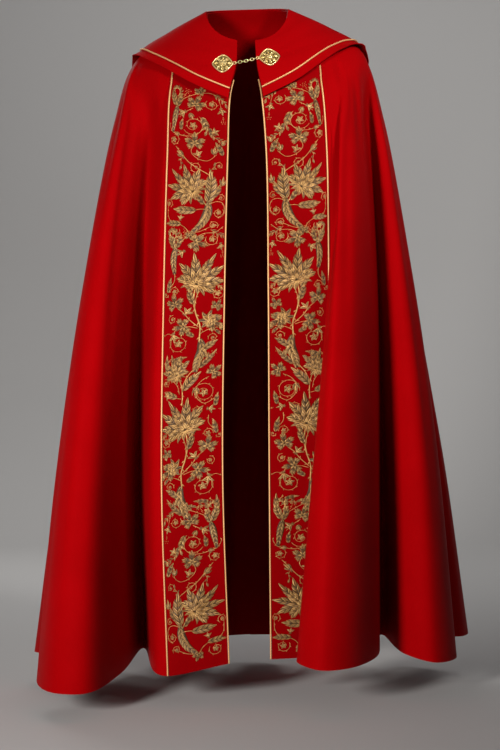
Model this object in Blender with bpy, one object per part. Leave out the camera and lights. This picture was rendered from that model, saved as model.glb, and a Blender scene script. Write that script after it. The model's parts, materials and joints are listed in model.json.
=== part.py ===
"""A worn cope: a semicircular cloak with two embroidered front bands, a round hood and a chained clasp.

Metres, +Z up. The wearer faces -Y, and the wearer's left is +X. The origin is the middle of the
neck opening, at the height where the neckline meets the sides of the neck.
The cloth is a net of fold lines laid through rings round the figure and smoothed into a surface.
A wall is two such grids of points, one moved out from the other along the surface's normals.
"""

import math

import bmesh
import bpy
import numpy as np
from mathutils import Matrix, Vector

# ---- driving dimensions ----
CLOTH_WALL = 0.0015
BAND_WALL = 0.0012
HOOD_WALL = 0.0020
BAND_WIDTH = 0.126
SEAM_GAP = 0.0003
LAYER_GAP = 0.0005  # between a panel and what is sewn on it
PIPING_RADIUS = 0.0017
RING_SQUARENESS = 0.85  # 1 is an ellipse, and less is squarer
TILT = 0.03  # the shoulders rise towards +X
RIGHT, LEFT = -1, 1  # the wearer's sides, as the sign of X
SIDE_NAMES = {RIGHT: "right", LEFT: "left"}


def table(columns, *rows):
    return [dict(zip(columns, row)) for row in rows]


# ---- rings round the figure, from the neckline down ----
# z_front, z_side, z_back: heights; middle: X of the ring's middle; front, back: depths;
# opened: how far the folds have opened; edge_right, edge_left: front edges, from X = 0
RINGS = table(
    ("z_front", "z_side", "z_back", "middle", "half_width", "front", "back", "opened",
     "edge_right", "edge_left"),
    (-0.078, 0.000, 0.018, -0.006, 0.086, 0.073, 0.075, 0.00, 0.0265, 0.0105),  # neck
    (-0.135, -0.045, -0.025, -0.002, 0.168, 0.108, 0.112, 0.00, 0.0290, 0.0145),  # yoke
    (-0.200, -0.095, -0.105, 0.000, 0.241, 0.135, 0.140, 0.00, 0.0430, 0.0260),  # shoulder
    (-0.330, -0.230, -0.260, 0.000, 0.284, 0.155, 0.165, 0.13, 0.0480, 0.0360),  # chest
    (-0.620, -0.590, -0.600, 0.000, 0.345, 0.175, 0.205, 0.42, 0.0545, 0.0400),  # waist
    (-1.000, -0.980, -0.990, 0.000, 0.392, 0.192, 0.250, 0.72, 0.0580, 0.0420),  # knee
    (-1.385, -1.385, -1.385, 0.000, 0.425, 0.205, 0.290, 1.00, 0.0450, 0.0450),  # hem
)
ROWS_BETWEEN_RINGS = (2, 2, 2, 3, 3, 3)
COLUMNS_BETWEEN_FOLDS = 2

# ---- fold lines of each half, from the front edge round to the centre back ----
# x, y, z: where each one reaches the hem; begins: how far open the rings are where it starts
FOLD_COLUMNS = ("name", "x", "y", "z", "begins")
FOLDS = {
    RIGHT: table(
        FOLD_COLUMNS,
        ("front edge", -0.045, -0.165, -1.368, -0.10),
        ("band edge", -0.170, -0.183, -1.390, -0.10),
        ("turn", -0.193, -0.170, -1.386, -0.10),
        ("valley a", -0.228, 0.005, -1.362, -0.12),
        ("flank a", -0.264, -0.190, -1.385, -0.12),
        ("crest a", -0.322, -0.328, -1.400, -0.12),
        ("crest a, far", -0.388, -0.318, -1.400, -0.12),
        ("flank b", -0.432, -0.200, -1.392, -0.12),
        ("valley b", -0.372, -0.040, -1.368, -0.05),
        ("crest b", -0.452, 0.050, -1.380, -0.05),
        ("crest b, far", -0.470, 0.125, -1.385, -0.05),
        ("valley c", -0.330, 0.160, -1.368, 0.00),
        ("crest c", -0.412, 0.280, -1.385, 0.05),
        ("crest c, far", -0.348, 0.342, -1.385, 0.05),
        ("valley d", -0.235, 0.220, -1.370, 0.10),
        ("crest d", -0.212, 0.380, -1.388, 0.10),
        ("crest d, far", -0.138, 0.402, -1.388, 0.10),
        ("valley e", -0.078, 0.250, -1.372, 0.10),
        ("crest e", -0.045, 0.385, -1.390, 0.10),
        ("centre back", 0.000, 0.400, -1.390, 0.10),
    ),
    LEFT: table(
        FOLD_COLUMNS,
        ("front edge", 0.045, -0.150, -1.361, -0.10),
        ("band edge", 0.171, -0.132, -1.358, -0.10),
        ("turn", 0.196, -0.148, -1.356, -0.10),
        ("inside of roll", 0.140, -0.178, -1.354, -0.05),
        ("roll", 0.094, -0.222, -1.354, 0.10),
        ("crest a", 0.138, -0.284, -1.362, -0.12),
        ("crest a, far", 0.196, -0.262, -1.362, -0.12),
        ("flank a", 0.262, -0.145, -1.356, -0.12),
        ("valley a", 0.286, 0.050, -1.340, -0.12),
        ("flank b", 0.324, -0.070, -1.362, -0.10),
        ("crest b", 0.384, -0.100, -1.376, -0.10),
        ("crest b, far", 0.440, -0.010, -1.376, -0.10),
        ("valley b", 0.360, 0.075, -1.350, -0.05),
        ("crest c", 0.468, 0.110, -1.352, -0.05),
        ("crest c, far", 0.480, 0.185, -1.350, -0.05),
        ("valley c", 0.350, 0.185, -1.350, 0.00),
        ("crest d", 0.412, 0.295, -1.370, 0.05),
        ("crest d, far", 0.345, 0.350, -1.372, 0.05),
        ("valley d", 0.245, 0.215, -1.362, 0.10),
        ("crest e", 0.225, 0.375, -1.380, 0.10),
        ("crest e, far", 0.150, 0.400, -1.384, 0.10),
        ("valley e", 0.088, 0.245, -1.372, 0.10),
        ("crest f", 0.050, 0.385, -1.388, 0.10),
        ("centre back", 0.000, 0.400, -1.390, 0.10),
    ),
}

# ---- the bands ----
BAND_SHARES = (0.0, 0.32, 0.64, 0.94)  # columns across the band, in shares of its width
BAND_PANEL = slice(0, 4)  # the columns that the embroidered panel covers
BAND_TOP_ROW = 3  # the bands run up under the hood as far as this row

# ---- the hood, by share of the way round from the front edge to the centre back ----
# z: height of its lower edge; inset_stand, edge_stand: how far off the cloak at its piping and edge
HOOD_EDGE = table(
    ("share", "z", "inset_stand", "edge_stand"),
    (0.00, -0.207, 0.0075, 0.0075),
    (0.14, -0.172, 0.0080, 0.0085),
    (0.24, -0.143, 0.0072, 0.0092),
    (0.31, -0.123, 0.0066, 0.0100),
    (0.37, -0.107, 0.0060, 0.0110),
    (0.44, -0.093, 0.0060, 0.0130),
    (0.50, -0.097, 0.0065, 0.0135),
    (0.58, -0.142, 0.0085, 0.0130),
    (0.70, -0.226, 0.0130, 0.0150),
    (0.82, -0.301, 0.0180, 0.0190),
    (0.92, -0.347, 0.0220, 0.0230),
    (1.00, -0.363, 0.0235, 0.0245),
)
HOOD_INSET = 0.020  # from the edge up to the piping
HOOD_NECK_STAND = 0.0024
HOOD_RINGS = RINGS[:5]
HOOD_COLUMNS = 18  # on each side
HOOD_ROWS = (6, 2)  # from the neck to the piping, and from there to the edge

# ---- the clasp ----
PLATE_HALF_WIDTH, PLATE_HALF_HEIGHT = 0.0225, 0.0235
PLATE_ROUNDNESS = 1.40  # of the outline: 1 is a diamond, and 2 is an ellipse
PLATE_POINTS = 32
PLATE_PROFILE = table(
    ("scale", "height"),
    (1.00, 0.0000), (1.00, 0.0020), (0.93, 0.0028), (0.70, 0.0034), (0.45, 0.0046), (0.15, 0.0050),
)
PLATE_PLACES = {  # on the hood: share round, share of the way from neck to piping, roll in degrees
    RIGHT: dict(share=0.061, down=0.61, roll=-2.0),
    LEFT: dict(share=0.066, down=0.50, roll=9.0),
}
EYE_RADIUS, EYE_WIRE = 0.0033, 0.0007
EYE_REACH, EYE_HEIGHT = 0.0020, 0.0028  # past the plate's inner tip, and above its back
LINK_COUNT = 7
LINK_WIRE = 0.0006
LINK_HALF_WIDTH = 0.0027
LINK_PLAY = 0.0003
LINK_TURN = 45.0  # each link is turned by this to one side, and the next one to the other
LINK_POINTS = 16
CHAIN_SAG = 0.0009

CLOTH_RED = (0.52, 0.004, 0.008)
PIPING_GOLD = (0.80, 0.42, 0.15)
CLASP_GOLD = (0.83, 0.62, 0.24)


# ---- curves and surfaces ----
def running_length(points):
    """Distance along a row of points, starting at 0."""
    steps = np.linalg.norm(np.diff(points, axis=0), axis=1)
    return np.concatenate([[0.0], np.cumsum(steps)])


def read_along(points, along, places):
    """Points at these distances along a row of points."""
    return np.stack([np.interp(places, along, points[:, axis]) for axis in range(3)], axis=1)


def smooth_through(points, shares, mirror_last=False):
    """A centripetal Catmull-Rom curve through points along the first axis.

    shares has the places to read between each point and the next, from 0 up to less than 1.
    mirror_last makes the curve cross the plane X = 0 squarely at its end.
    """
    beyond = points[-2] * [-1, 1, 1] if mirror_last else 2 * points[-1] - points[-2]
    row = np.concatenate([[2 * points[0] - points[1]], points, [beyond]])
    chords = np.linalg.norm(np.diff(row, axis=0), axis=-1, keepdims=True)
    spans = np.sqrt(np.maximum(chords, 1e-6))
    slopes = np.diff(row, axis=0) / spans
    made = []
    for i, places in enumerate(shares):
        start, end = row[i + 1], row[i + 2]
        span = spans[i + 1]
        leaving = span * (slopes[i] + slopes[i + 1]) - span * (end - row[i]) / (spans[i] + span)
        arriving = span * (slopes[i + 1] + slopes[i + 2])
        arriving -= span * (row[i + 3] - start) / (span + spans[i + 2])
        for u in places:
            made.append((2 * u**3 - 3 * u**2 + 1) * start + (u**3 - 2 * u**2 + u) * leaving
                        + (3 * u**2 - 2 * u**3) * end + (u**3 - u**2) * arriving)
    made.append(points[-1])
    return np.array(made)


def even_shares(counts):
    return [np.arange(count) / count for count in counts]


def ring_curve(ring, side):
    """Points round one side of a ring, from its front to its back."""
    turn = np.radians(np.linspace(0, 180, 361))
    across, along = np.sin(turn), np.cos(turn)
    x = ring["middle"] * across + side * ring["half_width"] * np.abs(across) ** RING_SQUARENESS
    depth = np.where(along > 0, ring["front"], ring["back"])
    y = -depth * np.sign(along) * np.abs(along) ** RING_SQUARENESS
    z = ring["z_side"] + (ring["z_front"] - ring["z_side"]) * np.maximum(along, 0)
    z += (ring["z_back"] - ring["z_side"]) * np.maximum(-along, 0) + TILT * x
    return np.stack([x, y, z], axis=1)


def points_on_ring(ring, side, shares, band=0.0):
    """Points at these shares of the way from the front edge to the centre back, past the band."""
    curve = ring_curve(ring, side)
    along = running_length(curve[:, :2])
    front = slice(0, len(curve) // 2)
    edge = np.interp(ring["edge_" + SIDE_NAMES[side]], side * curve[front, 0], along[front])
    past = edge + band * (np.arange(len(shares)) > 0)
    return read_along(curve, along, past + (along[-1] - past) * shares)


def fold_net(side):
    """Where each fold line crosses each ring: on the ring at the shoulder, on its own place at the hem.

    The cloth between two fold lines is the same share of every ring, as it is in the flat cut,
    and the band keeps its width.
    """
    hem = np.array([[fold[axis] for axis in "xyz"] for fold in FOLDS[side]])
    begins = np.array([fold["begins"] for fold in FOLDS[side]])
    length = running_length(hem[:, :2])
    neck_shares = length / length[-1]
    shares = np.clip((length - length[1]) / (length[-1] - length[1]), 0, 1)
    moved = hem - points_on_ring(RINGS[-1], side, shares, BAND_WIDTH)
    rings = [points_on_ring(RINGS[0], side, neck_shares)]
    for ring in RINGS[1:]:
        on_ring = points_on_ring(ring, side, shares, BAND_WIDTH)
        opened = np.clip((ring["opened"] - begins) / (1 - begins), 0, 1) * (ring["opened"] > 0)
        rings.append(on_ring + opened[:, None] * moved)
    return np.stack(rings, axis=1)


def cloak_grid(side):
    """Points of the cloak's outer face: columns from the front edge, rows from the neck."""
    net = fold_net(side)
    columns = [BAND_SHARES] + even_shares([COLUMNS_BETWEEN_FOLDS] * (len(FOLDS[side]) - 2))
    lines = smooth_through(net, columns, mirror_last=True)
    grid = smooth_through(np.swapaxes(lines, 0, 1), even_shares(ROWS_BETWEEN_RINGS))
    return np.swapaxes(grid, 0, 1)


def outward(grid, side):
    """Unit normals of a grid of points whose first column is the front edge of this side."""
    across, down = np.gradient(grid, axis=0), np.gradient(grid, axis=1)
    normals = -side * np.cross(across, down)
    return normals / np.linalg.norm(normals, axis=-1, keepdims=True)


def outward_to_seam(grid, side):
    """As outward, with the normals kept in the plane of the centre seam at the last column."""
    normals = outward(grid, side)
    normals[-1, :, 0] = 0.0
    return normals / np.linalg.norm(normals, axis=-1, keepdims=True)


# ---- the hood's surface ----
def hood_table(name, shares):
    """One column of HOOD_EDGE as a smooth curve, read at these shares."""
    points = np.array([[row["share"], row[name], 0.0] for row in HOOD_EDGE])
    curve = smooth_through(points, even_shares([6] * (len(points) - 1)))
    return np.interp(shares, curve[:, 0], curve[:, 1])


def hood_lines(side, shares, downs):
    """Points under the hood, on the cloak's unfolded surface, and how far the hood stands off them.

    downs runs from 0 at the neck to 1 at the piping and 2 at the edge.
    """
    rings = np.array([points_on_ring(ring, side, shares) for ring in HOOD_RINGS])
    lines = smooth_through(rings, even_shares([8] * (len(HOOD_RINGS) - 1)))
    downs = np.asarray(downs, dtype=float)
    points = []
    for column, edge_z in enumerate(hood_table("z", shares)):
        line = lines[:, column]
        along = running_length(line)
        end = np.interp(-edge_z - TILT * line[-1, 0], -line[:, 2], along)
        places = np.minimum(downs, 1) * (end - HOOD_INSET) + np.maximum(downs - 1, 0) * HOOD_INSET
        points.append(read_along(line, along, places))
    inset = hood_table("inset_stand", shares)[:, None]
    edge = hood_table("edge_stand", shares)[:, None]
    rise = np.sin(np.minimum(downs, 1) * math.pi / 2)
    stand = HOOD_NECK_STAND + (inset - HOOD_NECK_STAND) * rise
    stand += (edge - inset) * np.maximum(downs - 1, 0) ** 2
    return np.array(points), stand


def hood_grid():
    """The hood's under face and its outward normals, from the right front edge round to the left one."""
    shares = np.linspace(0, 1, HOOD_COLUMNS + 1)
    to_piping, to_edge = HOOD_ROWS
    downs = np.concatenate([np.arange(to_piping) / to_piping, 1 + np.arange(to_edge + 1) / to_edge])
    right, stand = hood_lines(RIGHT, shares, downs)
    left, _ = hood_lines(LEFT, shares, downs)
    surface = np.concatenate([right, left[-2::-1]])
    stands = np.concatenate([stand, stand[-2::-1]])
    face = surface + outward(surface, RIGHT) * stands[..., None]
    return face, outward(face, RIGHT)


# ---- objects ----
def clear_scene():
    for leftover in list(bpy.data.objects):
        bpy.data.objects.remove(leftover)


def material(name, colour, roughness, metallic=0.0):
    made = bpy.data.materials.new(name)
    made.use_nodes = True
    made.diffuse_color = (*colour, 1.0)
    shader = made.node_tree.nodes["Principled BSDF"]
    shader.inputs["Base Color"].default_value = (*colour, 1.0)
    shader.inputs["Roughness"].default_value = roughness
    shader.inputs["Metallic"].default_value = metallic
    return made


def add_object(name, data, colour, roughness, metallic=0.0):
    made = bpy.data.objects.new(name, data)
    data.materials.append(material(name, colour, roughness, metallic))
    bpy.context.scene.collection.objects.link(made)
    return made


def closed_mesh(name, points, faces):
    """A mesh whose faces point out."""
    mesh = bpy.data.meshes.new(name)
    mesh.from_pydata(points, [], faces)
    work = bmesh.new()
    work.from_mesh(mesh)
    bmesh.ops.recalc_face_normals(work, faces=work.faces)
    work.to_mesh(mesh)
    work.free()
    mesh.shade_smooth()
    mesh.set_sharp_from_angle(angle=math.radians(40))
    return mesh


def strip(first, second):
    """Faces between two rows of point numbers."""
    return np.stack([first[:-1], first[1:], second[1:], second[:-1]], axis=1).tolist()


def wall(name, inner, outer, colour, roughness):
    """A closed wall between two grids of points of the same size."""
    columns, rows = inner.shape[:2]
    inside = np.arange(columns * rows).reshape(columns, rows)
    outside = inside + columns * rows
    faces = []
    for face in (inside, outside):
        for column, following in zip(face[:-1], face[1:]):
            faces += strip(column, following)
    for rim in (np.s_[0], np.s_[-1], np.s_[:, 0], np.s_[:, -1]):
        faces += strip(inside[rim], outside[rim])
    points = np.concatenate([inner.reshape(-1, 3), outer.reshape(-1, 3)]).tolist()
    return add_object(name, closed_mesh(name, points, faces), colour, roughness)


def cord(name, points, radius, colour, roughness, metallic=0.0, closed=False):
    """A round cord of six sides through points, with filled ends unless it closes on itself."""
    curve = bpy.data.curves.new(name, "CURVE")
    curve.dimensions = "3D"
    curve.bevel_depth = radius
    curve.bevel_resolution = 1
    curve.use_fill_caps = not closed
    spline = curve.splines.new("POLY")
    spline.points.add(len(points) - 1)
    spline.points.foreach_set("co", np.column_stack([points, np.ones(len(points))]).ravel())
    spline.use_cyclic_u = closed
    return add_object(name, curve, colour, roughness, metallic)


# ---- the cloak and its bands ----
def make_cloak_half(side):
    grid = cloak_grid(side)
    normals = outward_to_seam(grid, side)
    outer = grid.copy()
    outer[-1, :, 0] = side * SEAM_GAP / 2
    wall("body_" + SIDE_NAMES[side], outer - normals * CLOTH_WALL, outer, CLOTH_RED, 0.6)
    make_band(side, grid, normals)


def aside(column, following):
    """Unit steps from the points of one column towards the next."""
    steps = following - column
    return steps / np.linalg.norm(steps, axis=1, keepdims=True)


def make_band(side, grid, normals):
    """The embroidered panel on the front edge, piped along both of its long sides."""
    name = SIDE_NAMES[side]
    rows = slice(BAND_TOP_ROW, None)
    panel, out = grid[BAND_PANEL, rows], normals[BAND_PANEL, rows]
    under, over = panel + out * LAYER_GAP, panel + out * (LAYER_GAP + BAND_WALL)
    wall("orphrey_" + name, under, over, CLOTH_RED, 0.6)
    clear = PIPING_RADIUS + LAYER_GAP
    front = panel[0] + clear * aside(panel[1], panel[0])
    cord("front_piping_" + name, front, PIPING_RADIUS, PIPING_GOLD, 0.45)
    beside = panel[-1] + clear * (aside(panel[-2], panel[-1]) + out[-1])
    cord("side_piping_" + name, beside, PIPING_RADIUS, PIPING_GOLD, 0.45)


# ---- the hood ----
def make_hood():
    face, out = hood_grid()
    wall("hood", face, face + out * HOOD_WALL, CLOTH_RED, 0.6)
    inset_row = HOOD_ROWS[0]
    line = face[:, inset_row] + out[:, inset_row] * (HOOD_WALL + SEAM_GAP + PIPING_RADIUS)
    cord("hood_piping", line, PIPING_RADIUS, PIPING_GOLD, 0.45)


# ---- the clasp ----
def hood_frame(side, share, down, roll):
    """Where a plate lies on the hood: its place, with X across the figure and Z out of the cloth."""
    step = 0.01
    shares = [share - step, share, share + step]
    points, stand = hood_lines(side, shares, [down - step, down, down + step])
    normals = outward(points, side)
    points = points + normals * stand[..., None]
    normal = Vector(outward(points, side)[1, 1])
    across = Vector((1, 0, 0))
    across = (across - normal * across.dot(normal)).normalized()
    facing = Matrix((across, normal.cross(across), normal)).transposed()
    turned = facing @ Matrix.Rotation(math.radians(roll), 3, "Z")
    place = Vector(points[1, 1]) + normal * (HOOD_WALL + LAYER_GAP)
    return Matrix.Translation(place) @ turned.to_4x4()


def plate_outline():
    """A rounded diamond, with points spread evenly in angle."""
    turn = np.linspace(0, 2 * math.pi, PLATE_POINTS, endpoint=False)
    power = 2 / PLATE_ROUNDNESS
    x = PLATE_HALF_WIDTH * np.sign(np.cos(turn)) * np.abs(np.cos(turn)) ** power
    y = PLATE_HALF_HEIGHT * np.sign(np.sin(turn)) * np.abs(np.sin(turn)) ** power
    return np.stack([x, y], axis=1)


def make_plate(side):
    """A domed plate sewn to the hood, with an eye at its inner tip. It returns the eye's frame."""
    outline = plate_outline()
    points, faces = [], []
    numbers = np.arange(PLATE_POINTS + 1) % PLATE_POINTS
    for level, row in enumerate(PLATE_PROFILE):
        points += [(x, y, row["height"]) for x, y in outline * row["scale"]]
        if level:
            faces += strip(numbers + (level - 1) * PLATE_POINTS, numbers + level * PLATE_POINTS)
    top = (len(PLATE_PROFILE) - 1) * PLATE_POINTS
    faces += [list(range(PLATE_POINTS)), list(range(top, top + PLATE_POINTS))]
    name = "clasp_plate_" + SIDE_NAMES[side]
    plate = add_object(name, closed_mesh(name, points, faces), CLASP_GOLD, 0.3, 1.0)
    plate.matrix_world = hood_frame(side, **PLATE_PLACES[side])
    eye_place = Vector((-side * (PLATE_HALF_WIDTH + EYE_REACH), 0, EYE_HEIGHT))
    bpy.ops.mesh.primitive_torus_add(
        major_radius=EYE_RADIUS, minor_radius=EYE_WIRE, major_segments=20, minor_segments=8
    )
    eye = bpy.context.object
    eye.name = "eye_" + SIDE_NAMES[side]
    eye.matrix_world = plate.matrix_world @ Matrix.Translation(eye_place)
    eye.hide_render = True
    eye.display_type = "WIRE"
    joined = plate.modifiers.new("eye", "BOOLEAN")
    joined.operation = "UNION"
    joined.object = eye
    return eye.matrix_world.copy()


def link_outline(half_length):
    """An oval loop in the plane of X and Y: two straight sides and two round ends."""
    turn = (np.arange(LINK_POINTS) + 0.5) * 2 * math.pi / LINK_POINTS
    straight = half_length - LINK_HALF_WIDTH
    x = LINK_HALF_WIDTH * np.cos(turn) + straight * np.sign(np.cos(turn))
    return np.stack([x, LINK_HALF_WIDTH * np.sin(turn), np.zeros(LINK_POINTS)], axis=1)


def make_chain(first_eye, last_eye):
    """Links from one eye to the other, hanging in a slight curve and turned against each other."""
    start, end = first_eye.translation, last_eye.translation
    run = end - start
    ends_in_eyes = EYE_RADIUS - EYE_WIRE - LINK_WIRE - LINK_PLAY
    pitch = (run.length - 2 * ends_in_eyes - 2 * LINK_WIRE - LINK_PLAY) / LINK_COUNT
    half_length = (pitch + 2 * LINK_WIRE + LINK_PLAY) / 2
    along = run.normalized()
    front = first_eye.col[2].to_3d() + last_eye.col[2].to_3d()
    front = (front - along * front.dot(along)).normalized()
    for number in range(LINK_COUNT):
        distance = ends_in_eyes + half_length + number * pitch
        share = number / (LINK_COUNT - 1)
        place = start + along * distance - Vector((0, 0, 4 * CHAIN_SAG * share * (1 - share)))
        turn = math.radians(LINK_TURN if number % 2 else -LINK_TURN)
        facing = Matrix((along, front.cross(along), front)).transposed() @ Matrix.Rotation(turn, 3, "X")
        name = "chain_link_%d" % (number + 1)
        loop = cord(name, link_outline(half_length), LINK_WIRE, CLASP_GOLD, 0.3, 1.0, closed=True)
        loop.matrix_world = Matrix.Translation(place) @ facing.to_4x4()


clear_scene()
for wearers_side in (RIGHT, LEFT):
    make_cloak_half(wearers_side)
make_hood()
eyes = [make_plate(wearers_side) for wearers_side in (RIGHT, LEFT)]
make_chain(*eyes)
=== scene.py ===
# A cope vestment in red cloth, with two gold-embroidered bands, a round hood and a chained clasp.
# Metres, +Z up. The wearer faces -Y, and the wearer's left is +X.
import json
import math

import bpy
import bmesh
import numpy as np
from mathutils import Matrix, Vector

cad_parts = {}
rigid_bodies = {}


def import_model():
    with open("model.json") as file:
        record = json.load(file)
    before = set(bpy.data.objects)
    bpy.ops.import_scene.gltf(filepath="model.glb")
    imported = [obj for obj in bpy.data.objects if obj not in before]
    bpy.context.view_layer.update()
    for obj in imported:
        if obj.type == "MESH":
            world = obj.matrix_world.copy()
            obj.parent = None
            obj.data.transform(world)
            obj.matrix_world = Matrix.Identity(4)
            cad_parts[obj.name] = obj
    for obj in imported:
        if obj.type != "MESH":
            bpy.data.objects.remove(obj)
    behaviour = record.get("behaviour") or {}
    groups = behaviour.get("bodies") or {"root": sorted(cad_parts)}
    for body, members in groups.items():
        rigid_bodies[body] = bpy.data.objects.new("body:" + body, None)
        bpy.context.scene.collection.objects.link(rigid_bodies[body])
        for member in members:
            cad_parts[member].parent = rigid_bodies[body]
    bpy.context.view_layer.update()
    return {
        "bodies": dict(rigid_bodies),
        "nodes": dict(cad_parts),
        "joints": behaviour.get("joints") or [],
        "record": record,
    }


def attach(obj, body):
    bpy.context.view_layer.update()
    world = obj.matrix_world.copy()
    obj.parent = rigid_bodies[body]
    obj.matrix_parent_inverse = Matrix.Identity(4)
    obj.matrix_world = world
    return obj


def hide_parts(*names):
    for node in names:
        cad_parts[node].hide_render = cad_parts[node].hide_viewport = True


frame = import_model()
sideNames = {-1: "right", 1: "left"}  # the wearer's sides, as the sign of X


def unit(vectors):
    return vectors / np.maximum(np.linalg.norm(vectors, axis=-1, keepdims=True), 1e-12)


# distance along a row of points: the running sum of the steps between them
def runningLength(points):
    return np.concatenate([[0.0], np.cumsum(np.linalg.norm(np.diff(points, axis=0), axis=1))])


# reads any number of columns against one column, as straight lines between the rows
def readAlong(values, along, places):
    return np.stack([np.interp(places, along, values[:, i]) for i in range(values.shape[1])], axis=1)


# centripetal Catmull-Rom through points along the first axis: each span is a cubic whose end slopes
# weigh the neighbouring chords by the square roots of their lengths
def smoothThrough(points, counts, mirrorLast=False):
    beyond = points[-2] * [-1, 1, 1] if mirrorLast else 2 * points[-1] - points[-2]
    row = np.concatenate([[2 * points[0] - points[1]], points, [beyond]])
    chords = np.diff(row, axis=0)
    spans = np.sqrt(np.maximum(np.linalg.norm(chords, axis=-1, keepdims=True), 1e-6))
    slopes = chords / spans
    made = []
    for i, count in enumerate(counts):
        start, end, span = row[i + 1], row[i + 2], spans[i + 1]
        leaving = span * (slopes[i] + slopes[i + 1]) - span * (end - row[i]) / (spans[i] + span)
        arriving = span * (slopes[i + 1] + slopes[i + 2])
        arriving = arriving - span * (row[i + 3] - start) / (span + spans[i + 2])
        u = (np.arange(count) / count).reshape(-1, *[1] * start.ndim)
        made.append((2 * u**3 - 3 * u**2 + 1) * start + (u**3 - 2 * u**2 + u) * leaving
                    + (3 * u**2 - 2 * u**3) * end + (u**3 - u**2) * arriving)
    return np.concatenate(made + [points[-1:]])


# four-cornered faces of a grid of point numbers
def gridFaces(numbers):
    a, b, c, d = numbers[:-1, :-1], numbers[1:, :-1], numbers[1:, 1:], numbers[:-1, 1:]
    return np.stack([a, b, c, d], axis=-1).reshape(-1, 4)


# a mesh object from points, four-cornered faces and any three-cornered ones, with a UV map and named
# values at its points
def meshObject(name, points, faces, uv=None, values=None, triangles=None, sharpAngle=None,
               recalculate=True):
    triangles = np.zeros((0, 3), dtype=int) if triangles is None else triangles
    corners = np.concatenate([faces.ravel(), triangles.ravel()]).astype(np.int32)
    totals = np.concatenate([np.full(len(faces), 4), np.full(len(triangles), 3)]).astype(np.int32)
    mesh = bpy.data.meshes.new(name)
    mesh.vertices.add(len(points))
    mesh.vertices.foreach_set("co", np.asarray(points, dtype=np.float32).ravel())
    mesh.loops.add(len(corners))
    mesh.loops.foreach_set("vertex_index", corners)
    mesh.polygons.add(len(totals))
    mesh.polygons.foreach_set("loop_start", (np.cumsum(totals) - totals).astype(np.int32))
    mesh.polygons.foreach_set("loop_total", totals)
    mesh.update(calc_edges=True)
    if uv is not None:
        layer = mesh.uv_layers.new(name="cut")
        layer.data.foreach_set("uv", np.asarray(uv, dtype=np.float32)[corners].ravel())
    for label, value in (values or {}).items():
        attribute = mesh.attributes.new(label, "FLOAT", "POINT")
        attribute.data.foreach_set("value", np.asarray(value, dtype=np.float32))
    if recalculate:
        work = bmesh.new()
        work.from_mesh(mesh)
        bmesh.ops.recalc_face_normals(work, faces=work.faces)
        work.to_mesh(mesh)
        work.free()
    mesh.shade_smooth()
    if sharpAngle:
        mesh.set_sharp_from_angle(angle=math.radians(sharpAngle))
    made = bpy.data.objects.new(name, mesh)
    bpy.context.scene.collection.objects.link(made)
    return made


# a closed wall between two grids of points of one size, with its rims filled
def wallObject(name, inner, outer, uv, values=None):
    columns, rows = inner.shape[:2]
    inside = np.arange(columns * rows).reshape(columns, rows)
    outside = inside + columns * rows
    faces = [gridFaces(inside)[:, ::-1], gridFaces(outside)]
    for rim in (np.s_[0], np.s_[-1], np.s_[:, 0], np.s_[:, -1]):
        faces.append(gridFaces(np.stack([inside[rim], outside[rim]])))
    points = np.concatenate([inner.reshape(-1, 3), outer.reshape(-1, 3)])
    both = np.concatenate([uv.reshape(-1, 2)] * 2)
    doubled = {label: np.concatenate([value.ravel()] * 2) for label, value in (values or {}).items()}
    return meshObject(name, points, np.concatenate(faces), both, doubled, sharpAngle=50)


# a round tube along a path: each ring is a circle square to the path, and its ends are closed cones.
# Its UV map runs round in metres across and along in metres up
def tubeMesh(path, radius, sides=10, front=(0, -1, 0), closed=False):
    path = np.asarray(path, dtype=float)
    around = np.roll(path, -1, axis=0) - np.roll(path, 1, axis=0)
    ahead = unit(around if closed else np.gradient(path, axis=0))
    out = np.broadcast_to(np.asarray(front, dtype=float), path.shape)
    out = unit(out - ahead * (out * ahead).sum(axis=1, keepdims=True))
    aside = np.cross(ahead, out)
    turn = np.linspace(0, 2 * math.pi, sides + 1)
    radii = np.broadcast_to(radius, len(path))[:, None, None]
    ring = np.cos(turn)[None, :, None] * out[:, None] + np.sin(turn)[None, :, None] * aside[:, None]
    points = path[:, None] + radii * ring
    along = runningLength(path)
    uv = np.stack(np.broadcast_arrays(turn[None, :] / (2 * math.pi), along[:, None]), axis=-1)
    return points, uv


def table(columns, *rows):
    return [dict(zip(columns, row)) for row in rows]


# the camera stands level in front of the middle of the height, as far off as the view needs
cameraPlace = {"distance": 3.8, "height": -0.777, "lens": 85.25}
floorPlace = {"soleHeight": -1.452, "radius": 4.6, "bend": 1.3, "rise": 4.5, "sides": 96}
lamps = table(
    ("name", "place", "aim", "size", "power", "spread", "colour"),
    ("key", (-1.6, -3.3, -0.35), (0.0, -0.1, -0.85), 0.7, 18, 60, (1.0, 0.985, 0.96)),
    ("shoulder", (1.4, -1.7, 0.8), (0.15, -0.05, -0.1), 0.5, 3.2, 44, (1.0, 0.985, 0.96)),
    ("backdrop", (0.0, 1.9, 1.7), (0.0, 4.2, -0.5), 1.2, 30, 180, (1.0, 0.99, 0.98)),
    ("rear", (-1.4, 2.6, 1.2), (0.0, 0.0, -0.6), 1.4, 16, 180, (1.0, 0.99, 0.98)),
)


def addCamera():
    data = bpy.data.cameras.new("camera")
    data.lens = cameraPlace["lens"]
    data.sensor_width = 36
    camera = bpy.data.objects.new("camera", data)
    camera.location = (0, -cameraPlace["distance"], cameraPlace["height"])
    camera.rotation_euler = (math.radians(90), 0, 0)
    bpy.context.scene.collection.objects.link(camera)
    bpy.context.scene.camera = camera


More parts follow.
